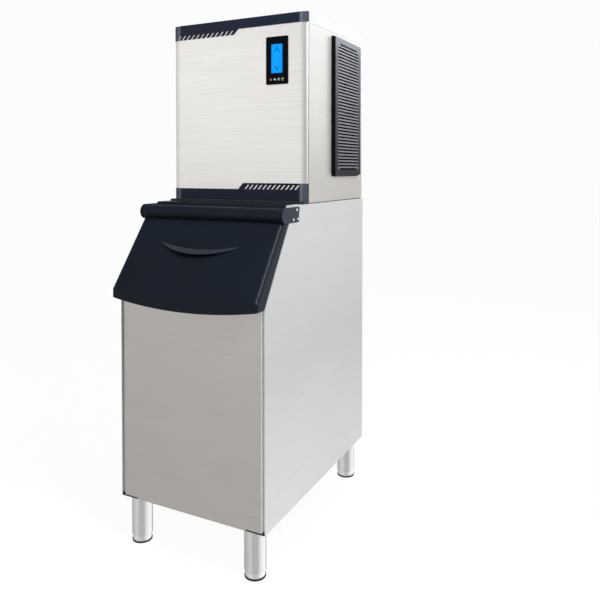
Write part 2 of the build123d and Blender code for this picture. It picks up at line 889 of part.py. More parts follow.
def make_evaporator_frame():
    z0, z1 = head_bottom + frame_bottom, head_bottom + frame_top
    y0 = partition_y - frame_depth
    inner = frame_half_width - frame_wall
    frame = block(-frame_half_width, frame_half_width, y0, partition_y, z0, z1)
    frame -= block(-inner, inner, y0, partition_y, z0 + frame_wall, z1 - frame_wall)
    for side in (-1, 1):
        ends = sorted((side * inner, side * frame_half_width))
        frame += block(ends[0], ends[1], pivot_y - ear_radius, y0, pivot_z - ear_radius, z1)
        frame -= rod_x(ends[0], ends[1], pivot_y, pivot_z, curtain_pin_radius + running_gap)
    return frame


def make_evaporator_plate():
    x1 = frame_half_width - frame_wall - door_seal_gap
    z0 = head_bottom + frame_bottom + frame_wall + door_seal_gap
    z1 = head_bottom + frame_top - frame_wall - door_seal_gap
    y0 = partition_y - frame_depth + cell_wall
    y1 = y0 + cell_depth
    plate = block(-x1, x1, y1, y1 + cell_wall, z0, z1)
    cell_x = (2 * x1 - cell_wall) / cell_columns
    cell_z = (z1 - z0 - cell_wall) / cell_rows
    for column in range(cell_columns + 1):
        x = -x1 + column * cell_x
        plate += block(x, x + cell_wall, y0, y1, z0, z1)
    for row in range(cell_rows + 1):
        z = z0 + row * cell_z
        plate += block(-x1, x1, y0, y1, z, z + cell_wall)
    for row in range(1, cell_rows, 2):
        plate += rod_x(-x1 + tube_radius, x1 - tube_radius, y1 + cell_wall + tube_radius - skin,
                       z0 + row * cell_z, tube_radius)
    return plate


def make_water_curtain():
    x1 = frame_half_width - frame_wall - ear_gap
    sheet = block(-x1, x1, pivot_y - curtain_thickness / 2, pivot_y + curtain_thickness / 2,
                  head_bottom + curtain_bottom, pivot_z)
    roll = rod_x(-x1, x1, pivot_y, pivot_z, curtain_pin_radius + skin)
    pins = rod_x(-frame_half_width + skin, frame_half_width - skin, pivot_y, pivot_z, curtain_pin_radius)
    return sheet + roll + pins


def make_water_trough():
    x1 = trough_half_width
    y0 = partition_y - trough_depth
    z0 = head_bottom + trough_bottom
    wall = trough_wall
    trough = block(-x1, x1, y0, partition_y, z0, z0 + trough_height)
    return trough - block(-x1 + wall, x1 - wall, y0 + wall, partition_y - wall, z0 + wall, z0 + trough_height)


def make_water_distributor():
    pipe_y = partition_y - frame_depth / 2
    pipe_z = head_bottom + frame_top + pipe_radius
    end = trough_half_width + pipe_radius
    riser = pipe_radius - 2 * skin
    low_z = trough_top + volute_radius
    pipe = rod_x(-frame_half_width + frame_wall, end, pipe_y, pipe_z, pipe_radius)
    pipe += rod_z(end, pipe_y, low_z, pipe_z, riser)
    pipe += Pos(end, pipe_y, pipe_z) * Sphere(pipe_radius)
    pipe += Pos(end, pipe_y, low_z) * Sphere(riser)
    return pipe + rod_x(pump_x + pump_radius - skin, end, pipe_y, low_z, riser) - rod_z(
        pump_x, pump_y, low_z - pump_length, low_z + pump_length, pump_radius)


def make_pump_motor():
    column = volute_radius / 2
    floor_z = head_bottom + trough_bottom + trough_wall + skin
    lid_z = floor_z + volute_height
    flange = block(pump_x - pump_radius - pipe_radius, pump_x + pump_radius + pipe_radius,
                   partition_y - trough_depth, partition_y, trough_top, trough_top + trough_wall)
    motor = rod_z(pump_x, pump_y, trough_top, trough_top + pump_length, pump_radius)
    motor = fillet(motor.edges().filter_by(GeomType.CIRCLE).sort_by(Axis.Z)[-1:], 3 * trough_wall)
    post = rod_z(pump_x, pump_y, lid_z - trough_wall, trough_top, column)
    volute = rod_z(pump_x, pump_y, floor_z, lid_z, volute_radius)
    volute -= rod_z(pump_x, pump_y, floor_z, lid_z - trough_wall, volute_radius - trough_wall)
    bore = rod_z(pump_x, pump_y, floor_z, trough_top + pump_length / 2, shaft_radius + running_gap)
    return flange + motor + post + volute - bore


def make_pump_impeller():
    floor_z = head_bottom + trough_bottom + trough_wall + skin
    disc_top = floor_z + volute_height - trough_wall - skin
    hub = rod_z(pump_x, pump_y, disc_top - trough_wall, disc_top, impeller_radius)
    low_z = floor_z + skin
    for index in range(6):
        vane = block(shaft_radius / 2, impeller_radius - skin / 4, -skin, skin, low_z, disc_top)
        hub += Pos(pump_x, pump_y, 0) * Rot(0, 0, 60 * index) * vane
    return hub + rod_z(pump_x, pump_y, low_z, trough_top + pump_length / 2 - skin, shaft_radius)


def make_float_valve():
    z = float_z
    body_front = float_y + float_body_front
    pin_front = float_y - float_pin_front
    body = block(float_x - float_body_half_width, float_x + float_body_half_width, body_front, partition_y,
                 z - float_body_drop, z + float_body_rise)
    pin = rod_y(float_x, pin_front, body_front, z, float_pin_radius)
    head = rod_y(float_x, pin_front - float_pin_head, pin_front, z, 2 * float_pin_radius)
    pipe_y = partition_y - 2 * tube_radius
    pipe = rod_x(inlet_x, float_x, pipe_y, inlet_z, tube_radius)
    return body + pin + head + pipe + rod_y(inlet_x, pipe_y, partition_y, inlet_z, tube_radius)


def make_float_arm():
    z = float_z
    end_x = float_x + float_arm_length
    eye_front, eye_back = float_y - float_eye_half_width, float_y + float_eye_half_width
    arm = rod_y(float_x, eye_front, eye_back, z, float_eye_radius)
    arm += block(float_x, end_x, float_y - float_arm_half_width, float_y + float_arm_half_width,
                 z - float_arm_half_height, z + float_arm_half_height)
    arm += rod_z(end_x, float_y, z - float_height, z, float_radius)
    return arm - rod_y(float_x, eye_front, eye_back, z, float_pin_radius + running_gap)


def make_water_inlet():
    thread = rod_y(inlet_x, head_back, head_back + inlet_reach, inlet_z, inlet_radius)
    neck = rod_y(inlet_x, head_back - steel, head_back, inlet_z, inlet_neck_radius)
    nut = extrude(Plane.XZ.offset(-(head_back - steel)) * Pos(inlet_x, inlet_z) * RegularPolygon(
        inlet_radius + inlet_nut_margin, 6), inlet_nut_length)
    line = rod_y(inlet_x, partition_y + steel, head_back - steel, inlet_z, tube_radius)
    nut_front = head_back - steel - inlet_nut_length
    bore = rod_y(inlet_x, nut_front, head_back + inlet_reach, inlet_z, inlet_radius - inlet_wall)
    plug = rod_y(inlet_x, nut_front, head_back - steel, inlet_z, inlet_radius - inlet_wall)
    return thread + neck + nut - bore + plug + line


# Refrigeration side

def make_compressor():
    z0 = base_top + grommet_height
    foot = block(compressor_x - foot_plate_x, compressor_x + foot_plate_x, compressor_mid - foot_plate_y,
                 compressor_mid + foot_plate_y, z0, z0 + foot_plate_thickness)
    pot_low = z0 + foot_plate_thickness
    pot = rod_z(compressor_x, compressor_mid, pot_low, pot_low + compressor_height, compressor_radius)
    rims = pot.edges().filter_by(GeomType.CIRCLE).sort_by(Axis.Z)
    pot = fillet(rims[-1:], compressor_radius / 2)
    for x in (discharge_x, suction_x):
        pot += rod_z(x, compressor_mid, z0 + compressor_height / 2, pot_top, 1.5 * tube_radius)
    return foot + pot


def make_compressor_grommets():
    grommets = []
    for side_x in (-1, 1):
        for side_y in (-1, 1):
            x = compressor_x + side_x * (foot_plate_x - grommet_radius)
            y = compressor_mid + side_y * (foot_plate_y - grommet_radius)
            grommets.append(rod_z(x, y, base_top, base_top + grommet_height, grommet_radius))
    return Compound(grommets)


def make_condenser():
    x0, x1 = condenser_x, condenser_x + condenser_width
    y0, y1 = condenser_y, condenser_y + condenser_length
    top = base_top + condenser_height
    core = block(x0 + steel, x1 - steel, y0, y1, base_top + condenser_core_bottom, top)
    ends = block(x0, x1, y0 - steel, y0, base_top, top) + block(x0, x1, y1, y1 + steel, base_top, top)
    pitch = (condenser_height - condenser_core_bottom) / (2 * (condenser_bends + 1))
    bends = Torus(pitch / 2, tube_radius) & Pos(pitch, 0, 0) * Box(2 * pitch, 3 * pitch, 2 * pitch)
    for index in range(condenser_bends):
        z = base_top + condenser_core_bottom + (2 * index + 2) * pitch
        core += Pos(bend_x, y1 + steel - skin / 4, z) * Rot(0, 0, 90) * Rot(90, 0, 0) * bends
    return core + ends


def make_fan_shroud():
    y0, y1 = condenser_y - steel, condenser_y + condenser_length + steel
    plate_x = condenser_x - shroud_thickness
    plate = block(plate_x, condenser_x, y0, y1, fan_z - fan_height / 2, fan_z + fan_height / 2)
    plate += rod_x(duct_x, plate_x, fan_y, fan_z, duct_radius + duct_wall)
    plate -= rod_x(duct_x, condenser_x, fan_y, fan_z, duct_radius)
    for turn in (45, 135):
        bar = Box(bracket_thickness, 2 * (duct_radius + bracket_overlap), bracket_width)
        plate += Pos(duct_x - bracket_thickness / 2, fan_y, fan_z) * Rot(turn, 0, 0) * bar
    plate += rod_x(duct_x - bracket_thickness, duct_x, fan_y, fan_z, hub_radius)
    return plate - rod_x(duct_x - bracket_thickness, duct_x, fan_y, fan_z, shaft_radius + shroud_bore_gap)


def make_fan_motor():
    x1 = duct_x - bracket_thickness
    motor = rod_x(x1 - motor_length, x1, fan_y, fan_z, motor_radius)
    motor = fillet(motor.edges().filter_by(GeomType.CIRCLE), motor_edge_radius)
    return motor - rod_x(x1 - motor_length / 2, x1, fan_y, fan_z, shaft_radius + running_gap)


def make_fan_blades():
    hub_x = duct_x + hub_inset
    hub = rod_x(hub_x, hub_x + hub_length, fan_y, fan_z, hub_radius)
    shaft_end = duct_x - bracket_thickness - motor_length / 2 + shaft_end_gap
    fan = hub + rod_x(shaft_end, duct_x + shaft_front, fan_y, fan_z, shaft_radius)
    reach = duct_radius - fan_tip_gap
    root = hub_radius - blade_root
    blade = Pos(0, 0, (reach + root) / 2) * Rot(0, 0, blade_pitch) * Box(
        blade_thickness, blade_chord, reach - root)
    limit = rod_x(duct_x - duct_depth, duct_x + 2 * duct_depth, 0, 0, reach)
    for index in range(blade_count):
        turned = Rot(360 / blade_count * index, 0, 0) * blade
        fan += Pos(hub_x + hub_length / 2, fan_y, fan_z) * turned
    return fan & Pos(0, fan_y, fan_z) * limit


def make_filter_drier():
    can = rod_z(drier_x, drier_y, drier_low, drier_top, drier_radius)
    can = fillet(can.edges().filter_by(GeomType.CIRCLE), drier_radius / 2)
    return can + rod_z(drier_x, drier_y, drier_low - drier_stub, drier_top + drier_stub, drier_stub_radius)


def make_hot_gas_valve():
    body = block(-valve_half_width, valve_half_width,
                 valve_y - valve_half_length, valve_y + valve_half_length,
                 gas_z - valve_half_width, gas_z + valve_half_width)
    neck_top = gas_z + valve_half_width + valve_neck
    body += rod_z(0, valve_y, gas_z + valve_half_width, neck_top, 2 * valve_half_width / 3)
    return body + rod_z(0, valve_y, neck_top, neck_top + coil_height, coil_radius)


def tube_along(points, bend):
    route = FilletPolyline(*points, radius=bend)
    start = Plane(origin=route @ 0, z_dir=route % 0)
    return sweep(start * Circle(tube_radius), path=route)


def make_refrigerant_tubing():
    rear = condenser_y + condenser_length + steel
    back_y = rear + tube_run
    bend = 4 * tube_radius
    discharge = tube_along([(discharge_x, compressor_mid, pot_top), (discharge_x, compressor_mid, gas_z),
                            (discharge_x, back_y, gas_z), (liquid_x, back_y, gas_z),
                            (liquid_x, back_y, gas_z + discharge_rise),
                            (liquid_x, rear, gas_z + discharge_rise)], bend * 0.7)
    liquid_z = base_top + condenser_core_bottom + 12
    liquid = tube_along([(liquid_x, rear, liquid_z), (liquid_x, drier_y, liquid_z),
                         (drier_x, drier_y, liquid_z), (drier_x, drier_y, drier_low - drier_stub)], bend * 0.7)
    feed_z = drier_low + drier_length + feed_rise
    feed = tube_along([(drier_x, drier_y, drier_top + drier_stub), (drier_x, drier_y, feed_z),
                       (drier_x, partition_y + steel, feed_z)], bend)
    suction = tube_along([(suction_x, partition_y + steel, gas_z + suction_rise),
                          (suction_x, compressor_mid, gas_z + suction_rise),
                          (suction_x, compressor_mid, pot_top)], bend)
    branch_y = compressor_mid + gas_branch
    gas = tube_along([(discharge_x + tube_radius - skin, branch_y, gas_z), (0, branch_y, gas_z),
                      (0, valve_y + valve_half_length, gas_z)], bend)
    evaporator = rod_y(0, partition_y + steel, valve_y - valve_half_length, gas_z, tube_radius)
    return Compound([discharge + gas, liquid, feed, suction, evaporator])


def make_electrical_box():
    x0 = -inner_half + 2 * steel
    y0 = partition_y + steel
    z1 = head_top - lid_flange_front
    box = block(x0, x0 + box_width, y0, y0 + box_depth, z1 - box_height, z1)
    wall = trough_wall
    return box - block(x0, x0 + box_width - wall, y0 + wall, y0 + box_depth - wall, z1 - box_height + wall,
                       z1 - wall)


def make_cord_gland():
    hexagon = Pos(gland_x, gland_z) * RegularPolygon(gland_radius, 6)
    nut_back = head_back + gland_nut
    nut = extrude(Plane.XZ.offset(-nut_back) * hexagon, gland_nut)
    dome = rod_y(gland_x, nut_back, head_back + gland_reach, gland_z, gland_radius - gland_step)
    dome = fillet(dome.edges().filter_by(GeomType.CIRCLE).sort_by(Axis.Y)[-1:], 2)
    neck = rod_y(gland_x, head_back - steel, head_back, gland_z, gland_thread)
    lock_front = head_back - steel - gland_lock
    lock = rod_y(gland_x, lock_front, head_back - steel, gland_z, gland_radius)
    bore = rod_y(gland_x, lock_front, head_back + gland_reach, gland_z, gland_bore)
    return nut + dome + neck + lock - bore


parts["bin_front_panel"] = make_bin_front_panel()
parts["bin_side_right"] = make_bin_side()
parts["bin_side_left"] = mirrored(parts["bin_side_right"])
parts["bin_rear_panel"] = make_bin_rear_panel()
parts["bin_deck"] = make_bin_deck()
parts["bin_bottom_pan"] = make_bin_bottom_pan()
parts["bin_insulation"] = make_bin_insulation()
parts["bin_liner"] = make_bin_liner()
parts["drain_fitting"] = make_drain_fitting()
parts["deck_gasket"] = make_deck_gasket()
parts["door_shell"] = make_door_shell()
parts["door_liner"] = make_door_liner()
parts["door_gasket"] = make_door_gasket()
parts["hinge_plate_right"] = make_hinge_plate()
parts["hinge_plate_left"] = mirrored(parts["hinge_plate_right"])
parts["plate_screws"] = make_plate_screws()
parts["tie_plates"] = make_tie_plates()

legs = []
for side_name, x in (("left", -half + leg_inset_side), ("right", half - leg_inset_side)):
    for end_name, y in (("front", leg_inset_front), ("rear", bin_depth - leg_inset_rear)):
        legs.append(make_leg(x, y))
        parts[f"foot_{end_name}_{side_name}"] = make_foot(x, y)
parts["leg_tubes"] = Compound(legs)

parts["head_front_panel"] = make_head_front_panel()
parts["front_trim_top"] = make_front_trim_top()
parts["front_trim_bottom"] = make_front_trim_bottom()
parts["head_side_right"] = make_head_side()
parts["head_side_left"] = mirrored(parts["head_side_right"])
parts["head_lid"] = make_head_lid()
parts["head_rear_panel"] = make_head_rear_panel()
parts["head_base_pan"] = make_head_base_pan()
parts["partition_wall"] = make_partition_wall()
parts["vent_grille_right"] = make_vent_grille()
parts["vent_grille_left"] = mirrored(parts["vent_grille_right"])

parts["control_bezel"] = make_control_bezel()
parts["display_module"] = make_display_module()
for name, x in zip(key_names, key_places):
    parts[name] = make_key(x)

parts["evaporator_frame"] = make_evaporator_frame()
parts["evaporator_plate"] = make_evaporator_plate()
parts["water_curtain"] = make_water_curtain()
parts["water_trough"] = make_water_trough()
parts["water_distributor"] = make_water_distributor()
parts["pump_motor"] = make_pump_motor()
parts["pump_impeller"] = make_pump_impeller()
parts["float_valve"] = make_float_valve()
parts["float_arm"] = make_float_arm()
parts["water_inlet"] = make_water_inlet()

parts["compressor"] = make_compressor()
parts["compressor_grommets"] = make_compressor_grommets()
parts["condenser"] = make_condenser()
parts["fan_shroud"] = make_fan_shroud()
parts["fan_motor"] = make_fan_motor()
parts["fan_blades"] = make_fan_blades()
parts["filter_drier"] = make_filter_drier()
parts["hot_gas_valve"] = make_hot_gas_valve()
parts["refrigerant_tubing"] = make_refrigerant_tubing()
parts["electrical_box"] = make_electrical_box()
parts["cord_gland"] = make_cord_gland()

os.makedirs("parts", exist_ok=True)
for name, part in parts.items():
    export_step(Pos(0, -middle_y, 0) * part, f"parts/{name}.step")

print("row frame: hinge", round(hinge_y - middle_y, 3), round(hinge_z, 3),
      "curtain", round(pivot_y - middle_y, 3), round(pivot_z, 3),
      "fan", round(fan_y - middle_y, 3), round(fan_z, 3),
      "pump", pump_x, round(pump_y - middle_y, 3),
      "float", float_x, round(float_y - middle_y, 3), round(float_z, 3))
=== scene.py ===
"""Looks of the ice machine: materials, printed and fitted details, studio light and the camera.

Lengths are in metres in the CAD's own frame: +Z up, the machine's front towards -Y, the floor at Z = 0.
"""

import math

import bmesh
import bpy
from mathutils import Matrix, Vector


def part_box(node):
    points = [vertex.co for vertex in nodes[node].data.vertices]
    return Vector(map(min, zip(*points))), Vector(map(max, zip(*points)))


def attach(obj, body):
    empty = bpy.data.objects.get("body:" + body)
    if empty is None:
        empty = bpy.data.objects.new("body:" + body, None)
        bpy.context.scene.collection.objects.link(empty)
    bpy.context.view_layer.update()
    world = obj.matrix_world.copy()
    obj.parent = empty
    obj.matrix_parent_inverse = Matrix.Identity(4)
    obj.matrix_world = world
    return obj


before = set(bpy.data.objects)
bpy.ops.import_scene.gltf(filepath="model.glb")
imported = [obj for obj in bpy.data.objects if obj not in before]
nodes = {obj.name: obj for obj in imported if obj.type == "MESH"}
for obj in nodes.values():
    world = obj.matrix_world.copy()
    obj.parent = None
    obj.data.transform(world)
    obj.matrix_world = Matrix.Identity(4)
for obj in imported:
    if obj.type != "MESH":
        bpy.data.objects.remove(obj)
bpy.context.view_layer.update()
scene = bpy.context.scene
MM = 0.001


# Nodes of a material

def new_material(name, metallic=0.0, roughness=0.5):
    material = bpy.data.materials.new(name)
    material.use_nodes = True
    shader = material.node_tree.nodes["Principled BSDF"]
    shader.inputs["Metallic"].default_value = metallic
    shader.inputs["Roughness"].default_value = roughness
    return material, material.node_tree, shader


def scaled(colour, factor):
    return [min(1.0, channel * factor) for channel in colour]


def grey(level):
    return (level, level, level)


def coordinates_of(tree, output="Object"):
    """X, Y and Z sockets of a point ("Object"), its facing ("Normal") or a ray's direction ("Generated")."""
    coordinates = tree.nodes.new("ShaderNodeTexCoord")
    separate = tree.nodes.new("ShaderNodeSeparateXYZ")
    tree.links.new(coordinates.outputs[output], separate.inputs["Vector"])
    return separate.outputs


def noise(tree, scale, stretch=(1, 1, 1), detail=4.0, rough=0.5):
    coordinates = tree.nodes.new("ShaderNodeTexCoord")
    mapping = tree.nodes.new("ShaderNodeMapping")
    mapping.inputs["Scale"].default_value = stretch
    texture = tree.nodes.new("ShaderNodeTexNoise")
    texture.inputs["Scale"].default_value = scale
    texture.inputs["Detail"].default_value = detail
    texture.inputs["Roughness"].default_value = rough
    tree.links.new(coordinates.outputs["Object"], mapping.inputs["Vector"])
    tree.links.new(mapping.outputs["Vector"], texture.inputs["Vector"])
    return texture.outputs["Fac"]


def ramp(tree, value, stops):
    node = tree.nodes.new("ShaderNodeValToRGB")
    elements = node.color_ramp.elements
    while len(elements) < len(stops):
        elements.new(0.5)
    for element, (position, colour) in zip(elements, stops):
        element.position = position
        element.color = (*colour, 1.0)
    tree.links.new(value, node.inputs["Fac"])
    return node.outputs["Color"]


def remap(tree, value, low, high, start=0.3, end=0.7):
    node = tree.nodes.new("ShaderNodeMapRange")
    node.inputs["From Min"].default_value = start
    node.inputs["From Max"].default_value = end
    node.inputs["To Min"].default_value = low
    node.inputs["To Max"].default_value = high
    tree.links.new(value, node.inputs["Value"])
    return node.outputs["Result"]


def math_node(tree, operation, first, second=0.0):
    node = tree.nodes.new("ShaderNodeMath")
    node.operation = operation
    for socket, value in zip(node.inputs, (first, second)):
        if isinstance(value, (int, float)):
            socket.default_value = value
        else:
            tree.links.new(value, socket)
    return node.outputs["Value"]


def between(tree, value, low, high):
    """1 where the value lies between two limits, else 0."""
    return math_node(tree, "MULTIPLY", math_node(tree, "GREATER_THAN", value, low),
                     math_node(tree, "LESS_THAN", value, high))


def multiply_colour(tree, first, second):
    node = tree.nodes.new("ShaderNodeMix")
    node.data_type = "RGBA"
    node.blend_type = "MULTIPLY"
    node.inputs["Factor"].default_value = 1.0
    tree.links.new(first, node.inputs["A"])
    tree.links.new(second, node.inputs["B"])
    return node.outputs["Result"]


def mix_colours(tree, share, first, second):
    """The first colour where the share is 0 and the second where it is 1. A colour is a socket or a tuple."""
    node = tree.nodes.new("ShaderNodeMix")
    node.data_type = "RGBA"
    tree.links.new(share, node.inputs["Factor"])
    for socket, colour in ((node.inputs["A"], first), (node.inputs["B"], second)):
        if isinstance(colour, tuple):
            socket.default_value = (*colour, 1.0)
        else:
            tree.links.new(colour, socket)
    return node.outputs["Result"]


def mix_shaders(tree, share, first, second):
    node = tree.nodes.new("ShaderNodeMixShader")
    tree.links.new(share, node.inputs["Fac"])
    tree.links.new(first.outputs[0], node.inputs[1])
    tree.links.new(second.outputs[0], node.inputs[2])
    return node


def mottled(tree, texture, colour, contrast):
    """A colour that a texture darkens and lightens by the same share."""
    return ramp(tree, texture, [(0.3, scaled(colour, 1 - contrast)), (0.7, scaled(colour, 1 + contrast))])


def bump(tree, shader, height, strength, distance):
    node = tree.nodes.new("ShaderNodeBump")
    node.inputs["Strength"].default_value = strength
    node.inputs["Distance"].default_value = distance
    tree.links.new(height, node.inputs["Height"])
    tree.links.new(node.outputs["Normal"], shader.inputs["Normal"])


def base_colour_of(material):
    """A finished material's tree, its Base Color socket and what feeds that socket now."""
    tree = material.node_tree
    socket = tree.nodes["Principled BSDF"].inputs["Base Color"]
    return tree, socket, socket.links[0].from_socket


# Kinds of finish

def brushed_steel(name, colour, contrast=0.1, roughness=(0.26, 0.4), metallic=0.95, rolled=None,
                  streak_depth=0.1):
    """Stainless sheet with long fine grinding lines that run level round the cabinet.

    Beyond a distance rolled = (axis, metres) the sheet is rolled over, and there a painted highlight turns
    its grinding into a pale, less metallic grey.
    """
    material, tree, shader = new_material(name, metallic=metallic)
    fine = noise(tree, 1.0, (5.0, 5.0, 900.0), detail=5.0, rough=0.7)
    streak = noise(tree, 1.0, (2.6, 2.6, 210.0), detail=5.0, rough=0.65)
    cloud = noise(tree, 1.7, (1.0, 1.0, 1.4), detail=2.0)
    lines = ramp(tree, fine, [(0.32, scaled(colour, 1 - contrast)), (0.5, colour),
                              (0.7, scaled(colour, 1 + contrast * 0.6))])
    streaks = ramp(tree, streak, [(0.28, grey(1 - streak_depth)), (0.42, grey(1 - 0.15 * streak_depth)),
                                  (0.65, grey(1.0))])
    clouds = ramp(tree, cloud, [(0.3, (0.955, 0.955, 0.96)), (0.7, grey(1.0))])
    surface = multiply_colour(tree, multiply_colour(tree, lines, streaks), clouds)
    if rolled:
        axis, start = rolled
        distance = coordinates_of(tree)[axis]
        if axis == "X":
            distance = math_node(tree, "ABSOLUTE", distance)
        # Painted highlight on the rolled edge: paler grey and less metallic beyond the given distance.
        edge = math_node(tree, "GREATER_THAN", distance, start)
        tree.links.new(remap(tree, edge, metallic, 0.75, 0.0, 1.0), shader.inputs["Metallic"])
        surface = mix_colours(tree, edge, surface, ramp(tree, fine, [(0.3, grey(0.8)), (0.7, grey(0.88))]))
    tree.links.new(surface, shader.inputs["Base Color"])
    tree.links.new(remap(tree, fine, roughness[1], roughness[0]), shader.inputs["Roughness"])
    bump(tree, shader, fine, 0.12, 0.0002)
    return material


def plain_metal(name, colour, roughness=(0.3, 0.45), grain=60.0, contrast=0.06):
    """Rolled or machined metal with faint mottling."""
    material, tree, shader = new_material(name, metallic=1.0)
    mottle = noise(tree, grain, detail=5.0, rough=0.6)
    tree.links.new(mottled(tree, mottle, colour, contrast), shader.inputs["Base Color"])
    tree.links.new(remap(tree, mottle, *roughness), shader.inputs["Roughness"])
    bump(tree, shader, noise(tree, grain * 8, detail=2.0), 0.02, 0.0002)
    return material


def moulded(name, colour, roughness=(0.3, 0.42), grain=900.0, depth=0.08, contrast=0.12, gloss=0.5):
    """Injection-moulded plastic: fine spark-erosion grain and slight flow variation."""
    material, tree, shader = new_material(name)
    flow = noise(tree, 7.0, detail=3.0)
    texture = noise(tree, grain, detail=3.0, rough=0.6)
    tree.links.new(mottled(tree, flow, colour, contrast), shader.inputs["Base Color"])
    tree.links.new(remap(tree, texture, *roughness), shader.inputs["Roughness"])
    shader.inputs["Specular IOR Level"].default_value = gloss
    bump(tree, shader, texture, depth, 0.0003)
    return material


def rubber(name, colour):
    material, tree, shader = new_material(name)
    texture = noise(tree, 500.0, detail=4.0)
    bloom = noise(tree, 18.0, detail=3.0)
    tree.links.new(ramp(tree, bloom, [(0.3, scaled(colour, 0.8)), (0.75, scaled(colour, 1.5))]),
                   shader.inputs["Base Color"])
    tree.links.new(remap(tree, texture, 0.62, 0.8), shader.inputs["Roughness"])
    bump(tree, shader, texture, 0.2, 0.0004)
    return material


def foam(name):
    material, tree, shader = new_material(name, roughness=0.9)
    cells = noise(tree, 420.0, detail=3.0)
    # Nearly black cells: painted shade for the foam where it shows deep in the bin's corner recesses.
    tree.links.new(ramp(tree, cells, [(0.3, (0.012, 0.012, 0.013)), (0.7, (0.03, 0.03, 0.032))]),
                   shader.inputs["Base Color"])
    bump(tree, shader, cells, 0.5, 0.0008)
    return material


def finned(name, colour, spacing):
    """Condenser core: thin fins seen on edge, with one dark gap of painted shade to each spacing in metres.
    """
    repeat_at_scale_1 = 2 * math.pi / 20
    material, tree, shader = new_material(name, metallic=0.9)
    coordinates = tree.nodes.new("ShaderNodeTexCoord")
    waves = tree.nodes.new("ShaderNodeTexWave")
    waves.wave_type = "BANDS"
    waves.bands_direction = "Z"
    waves.inputs["Scale"].default_value = repeat_at_scale_1 / spacing
    tree.links.new(coordinates.outputs["Object"], waves.inputs["Vector"])
    tree.links.new(ramp(tree, waves.outputs["Fac"], [(0.25, scaled(colour, 0.35)), (0.6, colour)]),
                   shader.inputs["Base Color"])
    tree.links.new(remap(tree, noise(tree, 90.0), 0.3, 0.5), shader.inputs["Roughness"])
    bump(tree, shader, waves.outputs["Fac"], 0.5, 0.001)
    return material


def louvred(name, frame_sheen_tones, bar_highlight_tones, wall_shade_colour):
    """Grille plastic with painted light: a painted sheen makes its face pale upwards, its bars carry a
    painted highlight and its inner walls painted shade.
    """
    field_half_width, field_margin = 105 * MM, 27 * MM
    material, tree, shader = new_material(name)
    low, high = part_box("vent_grille_right")
    place = coordinates_of(tree)
    outward = math_node(tree, "ABSOLUTE", coordinates_of(tree, "Normal")["X"])
    outward = math_node(tree, "GREATER_THAN", outward, 0.5)
    middle = (low[1] + high[1]) / 2
    field = math_node(tree, "MULTIPLY",
                      between(tree, place["Y"], middle - field_half_width, middle + field_half_width),
                      between(tree, place["Z"], low[2] + field_margin, high[2] - field_margin))
    rise = remap(tree, place["Z"], 0.0, 1.0, low[2], high[2])
    flow = ramp(tree, noise(tree, 12.0, detail=3.0), [(0.3, grey(0.88)), (0.7, grey(1.0))])
    texture = noise(tree, 700.0, detail=3.0)
    # Painted sheen on the frame and painted highlight on the bars, both paler upwards; inner walls get
    # painted shade.
    face = mix_colours(tree, field, multiply_colour(tree, ramp(tree, rise, frame_sheen_tones), flow),
                       multiply_colour(tree, ramp(tree, rise, bar_highlight_tones), flow))
    tree.links.new(mix_colours(tree, outward, wall_shade_colour, face), shader.inputs["Base Color"])
    tree.links.new(remap(tree, texture, 0.36, 0.5), shader.inputs["Roughness"])
    shader.inputs["Specular IOR Level"].default_value = 0.05
    bump(tree, shader, texture, 0.08, 0.0003)
    return material


def by_height(name, lower, upper, height):
    """Rubber below a height and steel above it, for a pad fused under its steel foot."""
    material, tree, shader = new_material(name)
    above = math_node(tree, "GREATER_THAN", coordinates_of(tree)["Z"], height)
    mottle = noise(tree, 60.0, detail=5.0)
    surface = mix_colours(tree, above, ramp(tree, mottle, [(0.3, scaled(lower, 0.8)), (0.7, lower)]),
                          ramp(tree, mottle, [(0.3, scaled(upper, 0.93)), (0.7, upper)]))
    tree.links.new(surface, shader.inputs["Base Color"])
    tree.links.new(above, shader.inputs["Metallic"])
    tree.links.new(remap(tree, above, 0.7, 0.42, 0.0, 1.0), shader.inputs["Roughness"])
    return material


def lit(name, colour, glow, gloss=0.5):
    """Lit print or screen behind a clear window, with faint unevenness of its backlight."""
    material, tree, shader = new_material(name, roughness=0.25)
    patch = noise(tree, 30.0, detail=2.0)
    shade = ramp(tree, patch, [(0.3, scaled(colour, 0.85)), (0.7, colour)])
    tree.links.new(shade, shader.inputs["Base Color"])
    tree.links.new(shade, shader.inputs["Emission Color"])
    shader.inputs["Emission Strength"].default_value = glow
    shader.inputs["Specular IOR Level"].default_value = gloss
    return material


def clear_plastic(name, colour):
    material, tree, shader = new_material(name)
    flow = noise(tree, 9.0, detail=3.0)
    shade = ramp(tree, flow, [(0.3, scaled(colour, 0.95)), (0.7, colour)])
    tree.links.new(shade, shader.inputs["Base Color"])
    tree.links.new(remap(tree, flow, 0.08, 0.2), shader.inputs["Roughness"])
    shader.inputs["Transmission Weight"].default_value = 0.55
    shader.inputs["IOR"].default_value = 1.46
    return material


def filter_cloth(name):
    material, tree, shader = new_material(name, roughness=0.8)
    weave = noise(tree, 1400.0, detail=1.0)
    # Near-black weave: painted shade seen through the grille slots, hiding the condenser behind them.
    tree.links.new(ramp(tree, weave, [(0.35, grey(0.002)), (0.65, (0.012, 0.012, 0.013))]),
                   shader.inputs["Base Color"])
    shader.inputs["Specular IOR Level"].default_value = 0.1
    bump(tree, shader, weave, 0.4, 0.0006)
    return material


# Changes to a finish in one place

def with_painted_grip_highlight(material, colour, across, upward, lean):
    """Makes a moulding lighter where it faces up inside a box of X and Z: a painted highlight for the grip's
    upward-facing ramp.
    """
    tree, socket, plain = base_colour_of(material)
    place = coordinates_of(tree)
    facing = coordinates_of(tree, "Normal")
    inside = math_node(tree, "MULTIPLY", between(tree, place["X"], *across),
                       between(tree, place["Z"], *upward))
    share = math_node(tree, "MULTIPLY", inside, between(tree, facing["Z"], *lean))
    tree.links.new(mix_colours(tree, share, plain, colour), socket)


